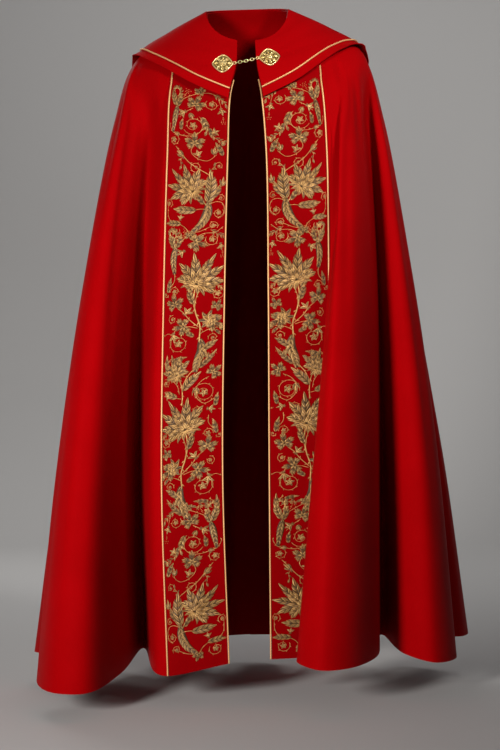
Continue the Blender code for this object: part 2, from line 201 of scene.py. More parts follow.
def addLamp(lamp):
    data = bpy.data.lights.new(lamp["name"], "AREA")
    data.shape = "DISK"
    data.size = lamp["size"]
    data.energy = lamp["power"]
    data.color = lamp["colour"]
    data.spread = math.radians(lamp["spread"])
    made = bpy.data.objects.new(lamp["name"], data)
    made.location = lamp["place"]
    made.rotation_euler = (Vector(lamp["aim"]) - Vector(lamp["place"])).to_track_quat("-Z", "Y").to_euler()
    bpy.context.scene.collection.objects.link(made)


# a round pale floor that bends up into a wall all the way round: a profile of a straight run, a quarter
# circle and a straight rise, turned about Z. The wall can be seen through from outside
def addFloor():
    bend, radius, sole = floorPlace["bend"], floorPlace["radius"], floorPlace["soleHeight"]
    sides = floorPlace["sides"]
    turn = np.linspace(0, math.pi / 2, 20)
    reach = np.concatenate([[1.0, 2.0], radius - bend + bend * np.sin(turn), [radius]])
    height = sole + np.concatenate([[0, 0], bend * (1 - np.cos(turn)), [floorPlace["rise"]]])
    around = np.linspace(0, 2 * math.pi, sides + 1)[:-1, None]
    points = np.stack(np.broadcast_arrays(reach * np.cos(around), reach * np.sin(around), height), axis=-1)
    numbers = np.arange(sides * len(reach)).reshape(sides, len(reach))
    numbers = np.concatenate([numbers, numbers[:1]])
    centre = np.full(sides, sides * len(reach))
    middle = np.stack([centre, numbers[:-1, 0], numbers[1:, 0]], axis=1)
    flat = np.concatenate([points.reshape(-1, 3), [[0, 0, sole]]])
    floor = meshObject("floor", flat, gridFaces(numbers)[:, ::-1], triangles=middle, recalculate=False)
    floor.data.materials.append(makeFloorPaper())


def makeFloorPaper():
    paper = bpy.data.materials.new("floorPaper")
    paper.use_nodes = True
    tree = paper.node_tree
    shader = tree.nodes["Principled BSDF"]
    shader.inputs["Base Color"].default_value = (0.60, 0.59, 0.58, 1)
    shader.inputs["Roughness"].default_value = 0.8
    clear = tree.nodes.new("ShaderNodeBsdfTransparent")
    outside = tree.nodes.new("ShaderNodeNewGeometry")
    mix = tree.nodes.new("ShaderNodeMixShader")
    tree.links.new(outside.outputs["Backfacing"], mix.inputs[0])
    tree.links.new(shader.outputs[0], mix.inputs[1])
    tree.links.new(clear.outputs[0], mix.inputs[2])
    tree.links.new(mix.outputs[0], tree.nodes["Material Output"].inputs["Surface"])
    return paper


def addWorld():
    world = bpy.data.worlds.new("world")
    world.use_nodes = True
    world.node_tree.nodes["Background"].inputs["Color"].default_value = (0.90, 0.93, 1.0, 1)
    world.node_tree.nodes["Background"].inputs["Strength"].default_value = 0.065
    bpy.context.scene.world = world


addCamera()
addFloor()
addWorld()
for lamp in lamps:
    addLamp(lamp)
print("camera, floor and lamps are in place")

cloak = {
    "wall": 0.0015, "bandWidth": 0.126, "squareness": 0.85, "tilt": 0.03, "seamGap": 0.0003,
    "columnsPerFold": 8, "bandColumns": 16, "rowsPerRing": (10, 12, 18, 26, 28, 28), "bandTopRow": 16,
    "cutNeck": 0.10,
}
band = {"gap": 0.0005, "wall": 0.0012}
piping = {"radius": 0.0017, "gap": 0.0005}
# rings round the figure, from the neckline down: heights at front, side and back, the middle's X,
# half width, depths to front and back, how far the folds have opened, and the two front edges
rings = table(
    ("zFront", "zSide", "zBack", "middle", "halfWidth", "front", "back", "opened", "right", "left"),
    (-0.078, 0.000, 0.018, -0.006, 0.086, 0.073, 0.075, 0.00, 0.0265, 0.0105),
    (-0.135, -0.045, -0.025, -0.002, 0.168, 0.108, 0.112, 0.00, 0.0290, 0.0145),
    (-0.200, -0.095, -0.105, 0.000, 0.241, 0.135, 0.140, 0.00, 0.0430, 0.0260),
    (-0.330, -0.230, -0.260, 0.000, 0.284, 0.155, 0.165, 0.13, 0.0480, 0.0360),
    (-0.620, -0.590, -0.600, 0.000, 0.345, 0.175, 0.205, 0.42, 0.0545, 0.0400),
    (-1.000, -0.980, -0.990, 0.000, 0.392, 0.192, 0.250, 0.72, 0.0580, 0.0420),
    (-1.385, -1.385, -1.385, 0.000, 0.425, 0.205, 0.290, 1.00, 0.0450, 0.0450),
)
# fold lines of each half from the front edge to the centre back: where each reaches the hem, and how
# far open the rings are where it starts
foldColumns = ("name", "x", "y", "z", "begins")
folds = {
    -1: table(
        foldColumns,
        ("front edge", -0.045, -0.165, -1.368, -0.10),
        ("band edge", -0.170, -0.183, -1.390, -0.10),
        ("turn", -0.193, -0.170, -1.386, -0.10),
        ("valley a", -0.228, 0.005, -1.362, -0.12),
        ("flank a", -0.264, -0.190, -1.385, -0.12),
        ("crest a", -0.322, -0.328, -1.400, -0.12),
        ("crest a, far", -0.388, -0.318, -1.400, -0.12),
        ("flank b", -0.432, -0.200, -1.392, -0.12),
        ("valley b", -0.372, -0.040, -1.368, -0.05),
        ("crest b", -0.452, 0.050, -1.380, -0.05),
        ("crest b, far", -0.470, 0.125, -1.385, -0.05),
        ("valley c", -0.330, 0.160, -1.368, 0.00),
        ("crest c", -0.412, 0.280, -1.385, 0.05),
        ("crest c, far", -0.348, 0.342, -1.385, 0.05),
        ("valley d", -0.235, 0.220, -1.370, 0.10),
        ("crest d", -0.212, 0.380, -1.388, 0.10),
        ("crest d, far", -0.138, 0.402, -1.388, 0.10),
        ("valley e", -0.078, 0.250, -1.372, 0.10),
        ("crest e", -0.045, 0.385, -1.390, 0.10),
        ("centre back", 0.000, 0.400, -1.390, 0.10),
    ),
    1: table(
        foldColumns,
        ("front edge", 0.045, -0.150, -1.361, -0.10),
        ("band edge", 0.171, -0.132, -1.358, -0.10),
        ("turn", 0.196, -0.148, -1.356, -0.10),
        ("inside of roll", 0.140, -0.178, -1.354, -0.05),
        ("roll", 0.094, -0.222, -1.354, 0.10),
        ("crest a", 0.138, -0.284, -1.362, -0.12),
        ("crest a, far", 0.196, -0.262, -1.362, -0.12),
        ("flank a", 0.262, -0.145, -1.356, -0.12),
        ("valley a", 0.286, 0.050, -1.340, -0.12),
        ("flank b", 0.324, -0.070, -1.362, -0.10),
        ("crest b", 0.384, -0.100, -1.376, -0.10),
        ("crest b, far", 0.440, -0.010, -1.376, -0.10),
        ("valley b", 0.360, 0.075, -1.350, -0.05),
        ("crest c", 0.468, 0.110, -1.352, -0.05),
        ("crest c, far", 0.480, 0.185, -1.350, -0.05),
        ("valley c", 0.350, 0.185, -1.350, 0.00),
        ("crest d", 0.412, 0.295, -1.370, 0.05),
        ("crest d, far", 0.345, 0.350, -1.372, 0.05),
        ("valley d", 0.245, 0.215, -1.362, 0.10),
        ("crest e", 0.225, 0.375, -1.380, 0.10),
        ("crest e, far", 0.150, 0.400, -1.384, 0.10),
        ("valley e", 0.088, 0.245, -1.372, 0.10),
        ("crest f", 0.050, 0.385, -1.388, 0.10),
        ("centre back", 0.000, 0.400, -1.390, 0.10),
    ),
}


# half a ring: a squared ellipse from front to back, whose height swings between front, side and back
def ringCurve(ring, side):
    turn = np.radians(np.linspace(0, 180, 721))
    across, along = np.sin(turn), np.cos(turn)
    x = ring["middle"] * across + side * ring["halfWidth"] * np.abs(across) ** cloak["squareness"]
    depth = np.where(along > 0, ring["front"], ring["back"])
    y = -depth * np.sign(along) * np.abs(along) ** cloak["squareness"]
    z = ring["zSide"] + (ring["zFront"] - ring["zSide"]) * np.maximum(along, 0)
    z += (ring["zBack"] - ring["zSide"]) * np.maximum(-along, 0) + cloak["tilt"] * x
    return np.stack([x, y, z], axis=1)


# points at shares of the way round a ring, from the front edge past the band to the centre back
def pointsOnRing(ring, side, shares, band=0.0):
    curve = ringCurve(ring, side)
    along = runningLength(curve[:, :2])
    front = slice(0, len(curve) // 2)
    edge = np.interp(ring[sideNames[side]], side * curve[front, 0], along[front])
    past = edge + band * (np.arange(len(shares)) > 0)
    return readAlong(curve, along, past + (along[-1] - past) * shares)


# each fold line crosses each ring: on the ring at the shoulder, in its own place at the hem. The cloth
# between two lines is the same share of every ring, as in the flat cut, and the band keeps its width
def foldNet(side):
    hem = np.array([[fold[axis] for axis in "xyz"] for fold in folds[side]])
    begins = np.array([fold["begins"] for fold in folds[side]])
    length = runningLength(hem[:, :2])
    shares = np.clip((length - length[1]) / (length[-1] - length[1]), 0, 1)
    moved = hem - pointsOnRing(rings[-1], side, shares, cloak["bandWidth"])
    net = [pointsOnRing(rings[0], side, length / length[-1])]
    for ring in rings[1:]:
        opened = np.clip((ring["opened"] - begins) / (1 - begins), 0, 1) * (ring["opened"] > 0)
        net.append(pointsOnRing(ring, side, shares, cloak["bandWidth"]) + opened[:, None] * moved)
    return np.stack(net, axis=1), length / length[-1]


# the outer face as a grid, columns from the front edge and rows from the neck, with where each column
# lies in the flat cut as a share of the quarter circle
def cloakGrid(side):
    net, shares = foldNet(side)
    counts = [cloak["bandColumns"]] + [cloak["columnsPerFold"]] * (len(folds[side]) - 2)
    lines = smoothThrough(net, counts, mirrorLast=True)
    grid = np.swapaxes(smoothThrough(np.swapaxes(lines, 0, 1), cloak["rowsPerRing"]), 0, 1)
    return grid, np.interp(gridNumbers(counts), np.arange(len(shares)), shares)


# unit normals of a grid whose first column is this side's front edge: across by down, facing out
def outward(grid, side, seam=False):
    normals = -side * np.cross(np.gradient(grid, axis=0), np.gradient(grid, axis=1))
    if seam:
        normals[-1, :, 0] = 0.0
    return unit(normals)


# where each point lies in the flat cut: polar, with the angle from the column and the radius from the
# length of cloth down to it
def flatCut(grid, shares, side):
    down = np.stack([runningLength(column) for column in grid])
    radius = cloak["cutNeck"] + down
    angle = shares[:, None] * math.pi / 2
    return np.stack([side * radius * np.sin(angle), -radius * np.cos(angle)], axis=-1), down


# soft troughs and ridges, each along a curve between fold-line and ring numbers (0 is the front edge and
# the neck): its half width and height in metres, with a trough below 0
creaseColumns = ("line", "ring", "lineEnd", "ringEnd", "width", "height", "bow")
creases = {
    -1: table(
        creaseColumns,
        (5.4, 1.7, 5.2, 3.4, 0.016, 0.0045, 0.10),
        (6.5, 1.9, 6.1, 4.3, 0.018, -0.0050, -0.15),
        (4.3, 2.3, 4.6, 4.8, 0.013, -0.0040, 0.10),
        (7.2, 1.8, 7.4, 3.6, 0.015, 0.0040, 0.10),
        (5.6, 3.9, 5.8, 5.8, 0.017, 0.0045, -0.10),
        (6.4, 4.4, 6.6, 6.0, 0.014, -0.0035, 0.08),
        (2.1, 1.9, 2.2, 3.0, 0.010, -0.0030, 0.05),
        (8.4, 2.6, 8.8, 4.8, 0.015, 0.0040, 0.10),
        (9.5, 3.6, 9.4, 5.6, 0.014, -0.0040, 0.10),
        (11.3, 2.3, 11.4, 4.2, 0.014, 0.0035, 0.10),
        (12.6, 2.9, 12.4, 5.3, 0.013, -0.0035, -0.10),
        (14.3, 2.6, 14.2, 4.6, 0.012, 0.0030, 0.10),
        (15.5, 3.3, 15.6, 5.7, 0.014, -0.0035, 0.06),
        (17.3, 2.8, 17.2, 4.8, 0.011, 0.0030, -0.05),
        (18.4, 3.9, 18.5, 5.8, 0.012, -0.0030, 0.05),
    ),
    1: table(
        creaseColumns,
        (5.4, 1.8, 5.3, 3.3, 0.014, 0.0045, 0.06),
        (5.9, 2.6, 5.6, 4.6, 0.015, -0.0040, -0.06),
        (4.6, 3.5, 4.8, 5.4, 0.014, 0.0035, 0.06),
        (6.6, 1.9, 6.7, 3.4, 0.013, -0.0040, 0.05),
        (9.6, 2.2, 9.8, 4.4, 0.015, 0.0045, 0.10),
        (10.6, 3.1, 10.4, 5.5, 0.015, -0.0045, -0.10),
        (11.4, 1.9, 11.5, 3.8, 0.013, 0.0040, 0.10),
        (13.5, 2.9, 13.3, 5.2, 0.014, -0.0035, 0.10),
        (14.4, 2.2, 14.6, 4.0, 0.013, 0.0035, -0.10),
        (16.5, 3.0, 16.4, 5.4, 0.014, -0.0035, 0.10),
        (18.4, 2.6, 18.3, 4.5, 0.012, 0.0030, 0.10),
        (19.5, 3.5, 19.6, 5.8, 0.014, -0.0035, 0.10),
        (21.3, 2.8, 21.2, 4.9, 0.011, 0.0030, -0.05),
        (22.5, 3.8, 22.4, 5.7, 0.012, -0.0030, 0.05),
    ),
}


# each crease adds height * exp(-(distance / width)^2), with the distance measured on the cloth from the
# crease's own curve and the height fading at both ends
def creaseHeights(side, grid, lineNumbers, ringNumbers):
    total = np.zeros(grid.shape[:2])
    across = np.linalg.norm(np.gradient(grid, axis=0), axis=2) / np.gradient(lineNumbers)[:, None]
    for crease in creases[side]:
        share = (ringNumbers - crease["ring"]) / (crease["ringEnd"] - crease["ring"])
        bowed = crease["bow"] * np.sin(math.pi * np.clip(share, 0, 1))
        line = crease["line"] + (crease["lineEnd"] - crease["line"]) * share + bowed
        distance = (lineNumbers[:, None] - line[None, :]) * across
        fade = np.sin(math.pi * np.clip(share, 0, 1)) ** 1.3
        total += crease["height"] * np.exp(-((distance / crease["width"]) ** 2)) * fade[None, :]
    return total


# fold-line or ring number of every column or row of a grid
def gridNumbers(counts):
    return np.concatenate([np.arange(count) / count + i for i, count in enumerate(counts)] + [[len(counts)]])


# slow swells that no crease accounts for: a few sines of line and ring number, different on each side
def slowSwell(side, lineNumbers, ringNumbers):
    line, ring = lineNumbers[:, None], ringNumbers[None, :]
    swell = np.sin(1.7 * line + 0.9 * side + 1.3 * np.sin(1.1 * ring))
    swell = swell * np.sin(1.9 * ring + 0.8 * line * side)
    swell += 0.6 * np.sin(2.9 * line - 2.3 * ring + side)
    return 0.0011 * swell * np.clip((line - 1) / 2, 0, 1) * np.clip(ring - 1, 0, 1)


def makeCloak(side):
    grid, shares = cloakGrid(side)
    lineNumbers = gridNumbers([cloak["bandColumns"]] + [cloak["columnsPerFold"]] * (len(folds[side]) - 2))
    ringNumbers = gridNumbers(cloak["rowsPerRing"])
    lift = creaseHeights(side, grid, lineNumbers, ringNumbers) + slowSwell(side, lineNumbers, ringNumbers)
    outer = grid + outward(grid, side, seam=True) * lift[..., None]
    outer[-1, :, 0] = 0.0
    normals = outward(outer, side, seam=True)
    inner = outer - normals * cloak["wall"]
    inner[-1, :, 0] = 0.0
    cut, down = flatCut(outer, shares, side)
    fromHem = down[:, -1:] - down
    made = wallObject("cloak_" + sideNames[side], inner, outer, cut, {"fromHem": fromHem})
    return made, outer, normals


# the embroidered panel over the front edge, a thin wall just off the cloak, mapped in metres across and
# down it
def makeBand(side, outer, normals):
    rows = slice(cloak["bandTopRow"], None)
    panel, out = outer[: cloak["bandColumns"], rows], normals[: cloak["bandColumns"], rows]
    across = np.cumsum(np.linalg.norm(np.diff(panel, axis=0, prepend=panel[:1]), axis=2), axis=0)
    down = np.stack([runningLength(column) for column in panel])
    uv = np.stack([side * across, -down], axis=-1)
    inner = panel + out * band["gap"]
    face = inner + out * band["wall"]
    made = wallObject("band_" + sideNames[side], inner, face, uv, {"fromHem": down[:, -1:] - down})
    return made, face, out


# a cord laid in two strands: a tube whose radius swells twice a turn, with the swells winding round as
# they go along: r = R (1 - depth + depth |cos(angle - turn)|)
def makeCord(name, path, out, radius, pitch=0.0052, depth=0.22, sides=12):
    along = runningLength(path)
    places = np.linspace(0, along[-1], int(along[-1] / (pitch / 5)) + 1)
    path = readAlong(path, along, places)
    points, uv = tubeMesh(path, radius, sides, front=readAlong(out, along, places))
    turn = np.linspace(0, 2 * math.pi, sides + 1)[None, :] - 2 * math.pi * (places / pitch)[:, None] / 2
    swell = 1 - depth + depth * np.abs(np.cos(turn))
    points = path[:, None] + (points - path[:, None]) * swell[..., None]
    # the swell is kept as the strand value, which darkens the cord's colour as painted shade between the
    # strands
    return tubeObject(name, points, uv, {"strand": swell})


# closes a tube's grid into a mesh: its last column repeats its first, and a point closes each end
def tubeObject(name, points, uv, values=None, closed=False):
    flat, faces, triangles, flatUv, flatValues = tubeParts(points, uv, values, closed)
    return meshObject(name, flat, faces, flatUv, flatValues, triangles)


def tubeParts(points, uv, values=None, closed=False):
    rows, columns = points.shape[0], points.shape[1] - 1
    numbers = np.arange(rows * columns).reshape(rows, columns)
    numbers = np.concatenate([numbers, numbers[:, :1]], axis=1)
    flat = points[:, :-1].reshape(-1, 3)
    flatUv = uv[:, :-1].reshape(-1, 2)
    flatValues = {label: value[:, :-1].ravel() for label, value in (values or {}).items()}
    if closed:
        faces = gridFaces(np.concatenate([numbers, numbers[:1]]))
        return flat, faces, np.zeros((0, 3), dtype=int), flatUv, flatValues
    flat = np.concatenate([flat, points[[0, -1], :-1].mean(axis=1)])
    flatUv = np.concatenate([flatUv, uv[[0, -1], 0]])
    flatValues = {label: np.concatenate([value, value[[0, -1]]]) for label, value in flatValues.items()}
    tips = np.repeat([rows * columns, rows * columns + 1], columns)
    ends = np.concatenate([numbers[0], numbers[-1]]).reshape(2, -1)
    triangles = np.stack([ends[:, :-1].ravel(), ends[:, 1:].ravel(), tips], axis=1)
    return flat, gridFaces(numbers), triangles, flatUv, flatValues


# several meshes' points, faces, triangles, UVs and values as one
def joined(parts):
    points, faces, triangles, uvs, values, start = [], [], [], [], {}, 0
    for part in parts:
        points.append(part[0])
        faces.append(part[1] + start)
        triangles.append(part[2] + start)
        uvs.append(part[3])
        for label, value in part[4].items():
            values.setdefault(label, []).append(value)
        start += len(part[0])
    values = {label: np.concatenate(value) for label, value in values.items()}
    return (*[np.concatenate(rows) for rows in (points, faces, triangles, uvs)], values)


# the hood: a round yoke over the shoulders that comes to a rounded point at the back. Its lower edge by
# share of the way round: height, and how far it stands off the cloak at its piping and at its edge
hood = {"inset": 0.020, "neckStand": 0.0024, "wall": 0.0020, "columns": 54, "rows": (30, 10)}
hoodEdge = table(
    ("share", "z", "insetStand", "edgeStand"),
    (0.00, -0.207, 0.0075, 0.0075),
    (0.14, -0.172, 0.0080, 0.0085),
    (0.24, -0.143, 0.0072, 0.0092),
    (0.31, -0.123, 0.0066, 0.0100),
    (0.37, -0.107, 0.0060, 0.0110),
    (0.44, -0.093, 0.0060, 0.0130),
    (0.50, -0.097, 0.0065, 0.0135),
    (0.58, -0.142, 0.0085, 0.0130),
    (0.70, -0.226, 0.0130, 0.0150),
    (0.82, -0.301, 0.0180, 0.0190),
    (0.92, -0.347, 0.0220, 0.0230),
    (1.00, -0.363, 0.0235, 0.0245),
)


def hoodColumn(name, shares):
    points = np.array([[row["share"], row[name], 0.0] for row in hoodEdge])
    curve = smoothThrough(points, [6] * (len(points) - 1))
    return np.interp(shares, curve[:, 0], curve[:, 1])


# points under the hood, on the cloak's unfolded rings, and how far the hood stands off them. Downs runs
# from 0 at the neck to 1 at the piping and 2 at the edge
def hoodLines(side, shares, downs):
    net = np.array([pointsOnRing(ring, side, shares) for ring in rings[:5]])
    lines = smoothThrough(net, [8] * 4)
    downs = np.asarray(downs, dtype=float)
    points = []
    for column, edgeZ in enumerate(hoodColumn("z", shares)):
        line = lines[:, column]
        along = runningLength(line)
        end = np.interp(-edgeZ - cloak["tilt"] * line[-1, 0], -line[:, 2], along)
        places = np.minimum(downs, 1) * (end - hood["inset"]) + np.maximum(downs - 1, 0) * hood["inset"]
        points.append(readAlong(line, along, places))
    inset = hoodColumn("insetStand", shares)[:, None]
    edge = hoodColumn("edgeStand", shares)[:, None]
    rise = np.sin(np.minimum(downs, 1) * math.pi / 2)
    stand = hood["neckStand"] + (inset - hood["neckStand"]) * rise
    return np.array(points), stand + (edge - inset) * np.maximum(downs - 1, 0) ** 2


def hoodGrid():
    shares = np.linspace(0, 1, hood["columns"] + 1)
    toPiping, toEdge = hood["rows"]
    downs = np.concatenate([np.arange(toPiping) / toPiping, 1 + np.arange(toEdge + 1) / toEdge])
    right, stand = hoodLines(-1, shares, downs)
    left, _ = hoodLines(1, shares, downs)
    surface = np.concatenate([right, left[-2::-1]])
    stands = np.concatenate([stand, stand[-2::-1]])
    face = surface + outward(surface, -1) * stands[..., None]
    return face, outward(face, -1)


def makeHood():
    face, out = hoodGrid()
    across = np.cumsum(np.linalg.norm(np.diff(face, axis=0, prepend=face[:1]), axis=2), axis=0)
    across -= across[hood["columns"]]
    down = np.stack([runningLength(column) for column in face])
    uv = np.stack([across, -down], axis=-1)
    made = wallObject("shoulder_hood", face, face + out * hood["wall"], uv, {"fromHem": down[:, -1:] - down})
    row = hood["rows"][0]
    line = face[:, row] + out[:, row] * (hood["wall"] + cloak["seamGap"] + piping["radius"])
    cord = makeCord("hood_cord", line, out[:, row], piping["radius"])
    return made, cord


# a cord down each long side of a band: one on the cloak's front edge, one on the seam beside the panel
def makePipings(side, outer, normals):
    rows = slice(cloak["bandTopRow"], None)
    panel, out = outer[: cloak["bandColumns"], rows], normals[: cloak["bandColumns"], rows]
    clear = piping["radius"] + piping["gap"]
    front = panel[0] + clear * unit(panel[0] - panel[1])
    beside = panel[-1] + clear * (unit(panel[-1] - panel[-2]) + out[-1])
    return (makeCord("front_cord_" + sideNames[side], front, out[0], piping["radius"]),
            makeCord("side_cord_" + sideNames[side], beside, out[-1], piping["radius"]))


# gold thread work, drawn in millimetres on a band laid flat: across from the outer cord towards the
# front edge (0 is the middle), down from the first leaf, and height off the cloth
goldWork = {"halfWidth": 59.0, "sink": -0.25, "starts": {-1: 39.0, 1: 27.0}}
# cross-sections, from edge to edge: place, height and tone. A leaf has a vein sunk between two swells,
# and a blade is the same with fewer edges, for the small leaves that are sewn by the hundred
# the tone column is painted light and shade: a painted highlight on the swells, painted shade at the edges
# and in the sunk vein
profiles = {
    "thread": np.array([(-1, 0, 0.25), (-0.6, 0.8, 0.8), (0, 1, 1.0), (0.6, 0.8, 0.8), (1, 0, 0.25)]),
    "leaf": np.array([(-1, 0, 0.20), (-0.8, 0.72, 0.75), (-0.4, 1, 1.0), (0, 0.4, 0.05), (0.4, 1, 0.9),
                      (0.8, 0.72, 0.6), (1, 0, 0.15)]),
    "blade": np.array([(-1, 0, 0.15), (-0.52, 1, 1.0), (0, 0.35, 0.05), (0.52, 1, 0.85), (1, 0, 0.10)]),
}


# a strand: its profile carried along a flat path, across = path + normal * half width * place and
# up = height * profile height, closed below and at both ends
def strand(path, halfWidths, heights, profile="thread", tone=1.0, lift=0.0):
    path = np.asarray(path, dtype=float)
    ahead = unit(np.gradient(path, axis=0))
    aside = np.stack([-ahead[:, 1], ahead[:, 0]], axis=1)
    shape = profiles[profile]
    shape = np.concatenate([shape, [[shape[0, 0], 0, shape[0, 2]]]])
    halfWidths = np.broadcast_to(halfWidths, len(path))[:, None]
    flat = path[:, None] + aside[:, None] * (halfWidths * shape[:, 0])[..., None]
    up = goldWork["sink"] + lift + np.broadcast_to(heights, len(path))[:, None] * shape[:, 1]
    points = np.concatenate([flat, up[..., None]], axis=2)
    along = runningLength(path)
    uv = np.stack(np.broadcast_arrays(halfWidths * shape[:, 0], along[:, None]), axis=-1) / 1000
    # the tones carry the profile's painted light and shade, scaled by the strand's tone
    tones = np.broadcast_to(shape[:, 2] * tone, up.shape)
    return tubeParts(points, uv, {"tone": tones})


# heading angles are in degrees: 0 points to the front edge, 90 down the band
def curved(start, angle, length, bend, count=7):
    steps = np.linspace(0, 1, count)
    heading = np.radians(angle + bend * (steps[1:] + steps[:-1]) / 2)
    step = length / (count - 1) * np.stack([np.cos(heading), np.sin(heading)], axis=1)
    return np.concatenate([[start], start + np.cumsum(step, axis=0)])


# a lobe: a curved leaf whose half width is half its width times sin(pi * share^0.75)^0.8
def lobe(start, angle, length, width, bend=0.0, height=1.6, profile="blade", tone=1.0, count=7, lift=0.0):
    share = np.linspace(0, 1, count)
    swell = np.sin(math.pi * np.clip(share, 0.03, 0.985) ** 0.75) ** 0.8
    path = curved(np.asarray(start, dtype=float), angle, length, bend, count)
    return strand(path, width / 2 * swell, height * (0.35 + 0.65 * swell), profile, tone, lift)


# a stem through points, thick to thin, with thorns or small leaves on alternate sides
def stem(points, widths=(1.5, 1.0), thorns=0, thornSize=3.2, tone=0.9, height=1.0):
    points = np.asarray(points, dtype=float)
    path = smoothThrough(np.column_stack([points, np.zeros(len(points))]), [7] * (len(points) - 1))[:, :2]
    share = np.linspace(0, 1, len(path))
    made = [strand(path, np.interp(share, [0, 1], widths) / 2, height, "thread", tone)]
    for number, place in enumerate(np.linspace(2, len(path) - 3, thorns).astype(int)):
        step = path[place + 1] - path[place]
        heading = math.degrees(math.atan2(step[1], step[0]))
        turn = 52 if number % 2 else -52
        made.append(lobe(path[place], heading + turn, thornSize, thornSize * 0.42, -turn * 0.4, 1.0,
                         "thread", tone, 4))
    return made


# a toothed leaf: a broad blade darkened as painted shade between the lobes, lobes that lie over each other on
# both sides of its curved rib, lighter and darker in turn as painted light and shade, one at its tip, and the
# rib's own sunk thread, darkened as painted shade
def frond(start, angle, length, width, pairs=5, bend=0.0, tone=1.0, height=1.6, spread=44, lift=0.0):
    start = np.asarray(start, dtype=float)
    rib = curved(start, angle, length * 0.86, bend, 9)
    share = np.linspace(0, 1, 9)
    # the blade's low tone is painted shade in the gaps between the lobes
    made = [lobe(start, angle, length * 0.92, width * 0.42, bend, height * 0.7, tone=tone * 0.42,
                 lift=lift)]
    for number in range(pairs):
        place = 0.04 + 0.80 * number / pairs
        root = readAlong(rib, share, [place])[0]
        reach = width * (0.44 + 0.30 * math.sin(math.pi * min(place * 1.1 + 0.15, 1)))
        for sign in (-1, 1):
            heading = angle + bend * place + sign * spread
            # alternate lobes lighter and darker: painted light and shade
            shade = tone * (1.10 if (number + sign) % 2 else 0.70)
            made.append(lobe(root, heading, reach, reach * 0.38, -sign * 20, height, "blade", shade, 5,
                             lift + 0.10 * (pairs - number)))
    made.append(lobe(rib[-3], angle + bend * 0.9, length * 0.32, width * 0.34, bend * 0.2, height,
                     tone=tone * 1.1, count=5, lift=lift + 0.3))
    # the rib thread's low tone is painted shade of the sunk vein
    made.append(strand(rib, np.interp(share, [0, 1], [0.7, 0.3]), height * 1.1, "thread", tone * 0.30,
                       lift + 0.45))
    return made


# a large flower in profile: toothed petals fanned behind a seeded bud, smooth petals below that curl
# outwards, and a small cup
def palmette(base, angle, size, tone=1.0):
    made = []
    for turn, reach, bend in ((76, 0.56, 30), (50, 0.80, 18), (25, 0.94, 8)):
        for sign in (-1, 1):
            made += frond(base, angle + sign * turn, size * reach, size * 0.34, 6, sign * bend, tone, 1.8, 38)
    for sign in (-1, 1):
        made.append(lobe(base, angle + sign * 100, size * 0.40, size * 0.12, sign * 46, 2.0, "leaf",
                         tone * 0.80, 7, 0.3))
        made.append(lobe(base, angle + sign * 128, size * 0.28, size * 0.11, sign * 40, 2.0, "leaf",
                         tone * 0.85, 6, 0.2))
    made += frond(base, angle, size * 1.02, size * 0.32, 6, 6, tone, 2.0, 38, 0.3)
    seed = curved(np.asarray(base, dtype=float), angle, size * 0.60, 4, 8)
    for row in range(1, 7):
        for sign in (-1, 1):
            # seed lobes lighter and darker by row: painted light and shade
            made.append(lobe(seed[row], angle + sign * 46, size * 0.15, size * 0.075, -sign * 40, 2.2,
                             tone=tone * (1.15 if row % 2 else 0.85), count=4, lift=1.1))
    for turn in (140, 163, 197, 220):
        made.append(lobe(base, angle + turn, size * 0.17, size * 0.09, 0, 2.0, tone=tone, count=5, lift=0.3))
    return made


# a vine leaf: five toothed lobes round its stalk's end
def vineLeaf(place, angle, size, tone=1.0):
    made = []
    for turn, share in ((-120, 0.66), (120, 0.66), (-64, 0.86), (64, 0.86), (0, 1.0)):
        made += frond(place, angle + turn, size * 0.60 * share, size * 0.34, 3, turn * 0.06, tone, 1.7, 42,
                      0.1 * share)
    return made


# an open rose: two rings of round petals about a small whorl
def rose(place, angle, size, tone=0.95):
    made = []
    for ring, (count, reach, width) in enumerate(((7, 0.52, 0.26), (5, 0.36, 0.24), (4, 0.19, 0.15))):
        for number in range(count):
            heading = angle + 360 * number / count + 25 * ring
            # inner, higher rings and alternate petals lighter: painted light and shade
            shade = tone * (0.75 + 0.18 * ring + 0.12 * (number % 2))
            made.append(lobe(place, heading, size * reach, size * width, 35, 1.6 + 0.35 * ring,
                             tone=shade, count=5, lift=0.35 * ring))
    return made


# a lily: a cup, two petals that curl back and a middle one
def lily(place, angle, size, tone=1.0):
    made = []
    # the petals lighter than the cup behind them: painted light and shade
    for turn, bend, reach in ((-24, -58, 0.72), (24, 58, 0.72), (0, 6, 0.80)):
        made.append(lobe(place, angle + turn, size * reach, size * 0.30, bend, 1.9, tone=tone * 1.1,
                         lift=0.2))
    for turn in (140, 180, 220):
        made.append(lobe(place, angle + turn, size * 0.30, size * 0.16, 0, 1.6, tone=tone * 0.8, count=4))
    return made


# a bud: three lobes, the middle one lightest and the two sides darker by different amounts, as painted light
# and shade
def bud(place, angle, size, tone=1.0):
    return [lobe(place, angle + turn, size * reach, size * 0.34, -turn * 0.9, 1.8, tone=tone * shade,
                 count=5, lift=0.2)
            for turn, reach, shade in ((-44, 0.85, 0.8), (44, 0.85, 0.9), (0, 1.1, 1.15))]


# a curled leaf head: its rib winds inwards, and lobes fan from its outer side
def curledHead(place, angle, size, hand=1, tone=1.0):
    share = np.linspace(0, 1, 22)
    turn = np.radians(angle) + hand * share * 5.0
    reach = size * 0.40 * (1 - 0.72 * share)
    centre = np.asarray(place, dtype=float)
    rib = centre + reach[:, None] * np.stack([np.cos(turn), np.sin(turn)], axis=1)
    made = [strand(rib, np.interp(share, [0, 1], [1.7, 0.8]), 1.7, "leaf", tone)]
    for number, spot in enumerate(range(0, 18, 2)):
        outwards = math.degrees(turn[spot]) + hand * 26
        # alternate lobes lighter and darker: painted light and shade
        made.append(lobe(rib[spot], outwards, size * (0.32 - 0.016 * number), size * 0.15, hand * 48, 1.8,
                         tone=tone * (1.1 if number % 2 else 0.8), count=5, lift=0.12 * number))
    return made
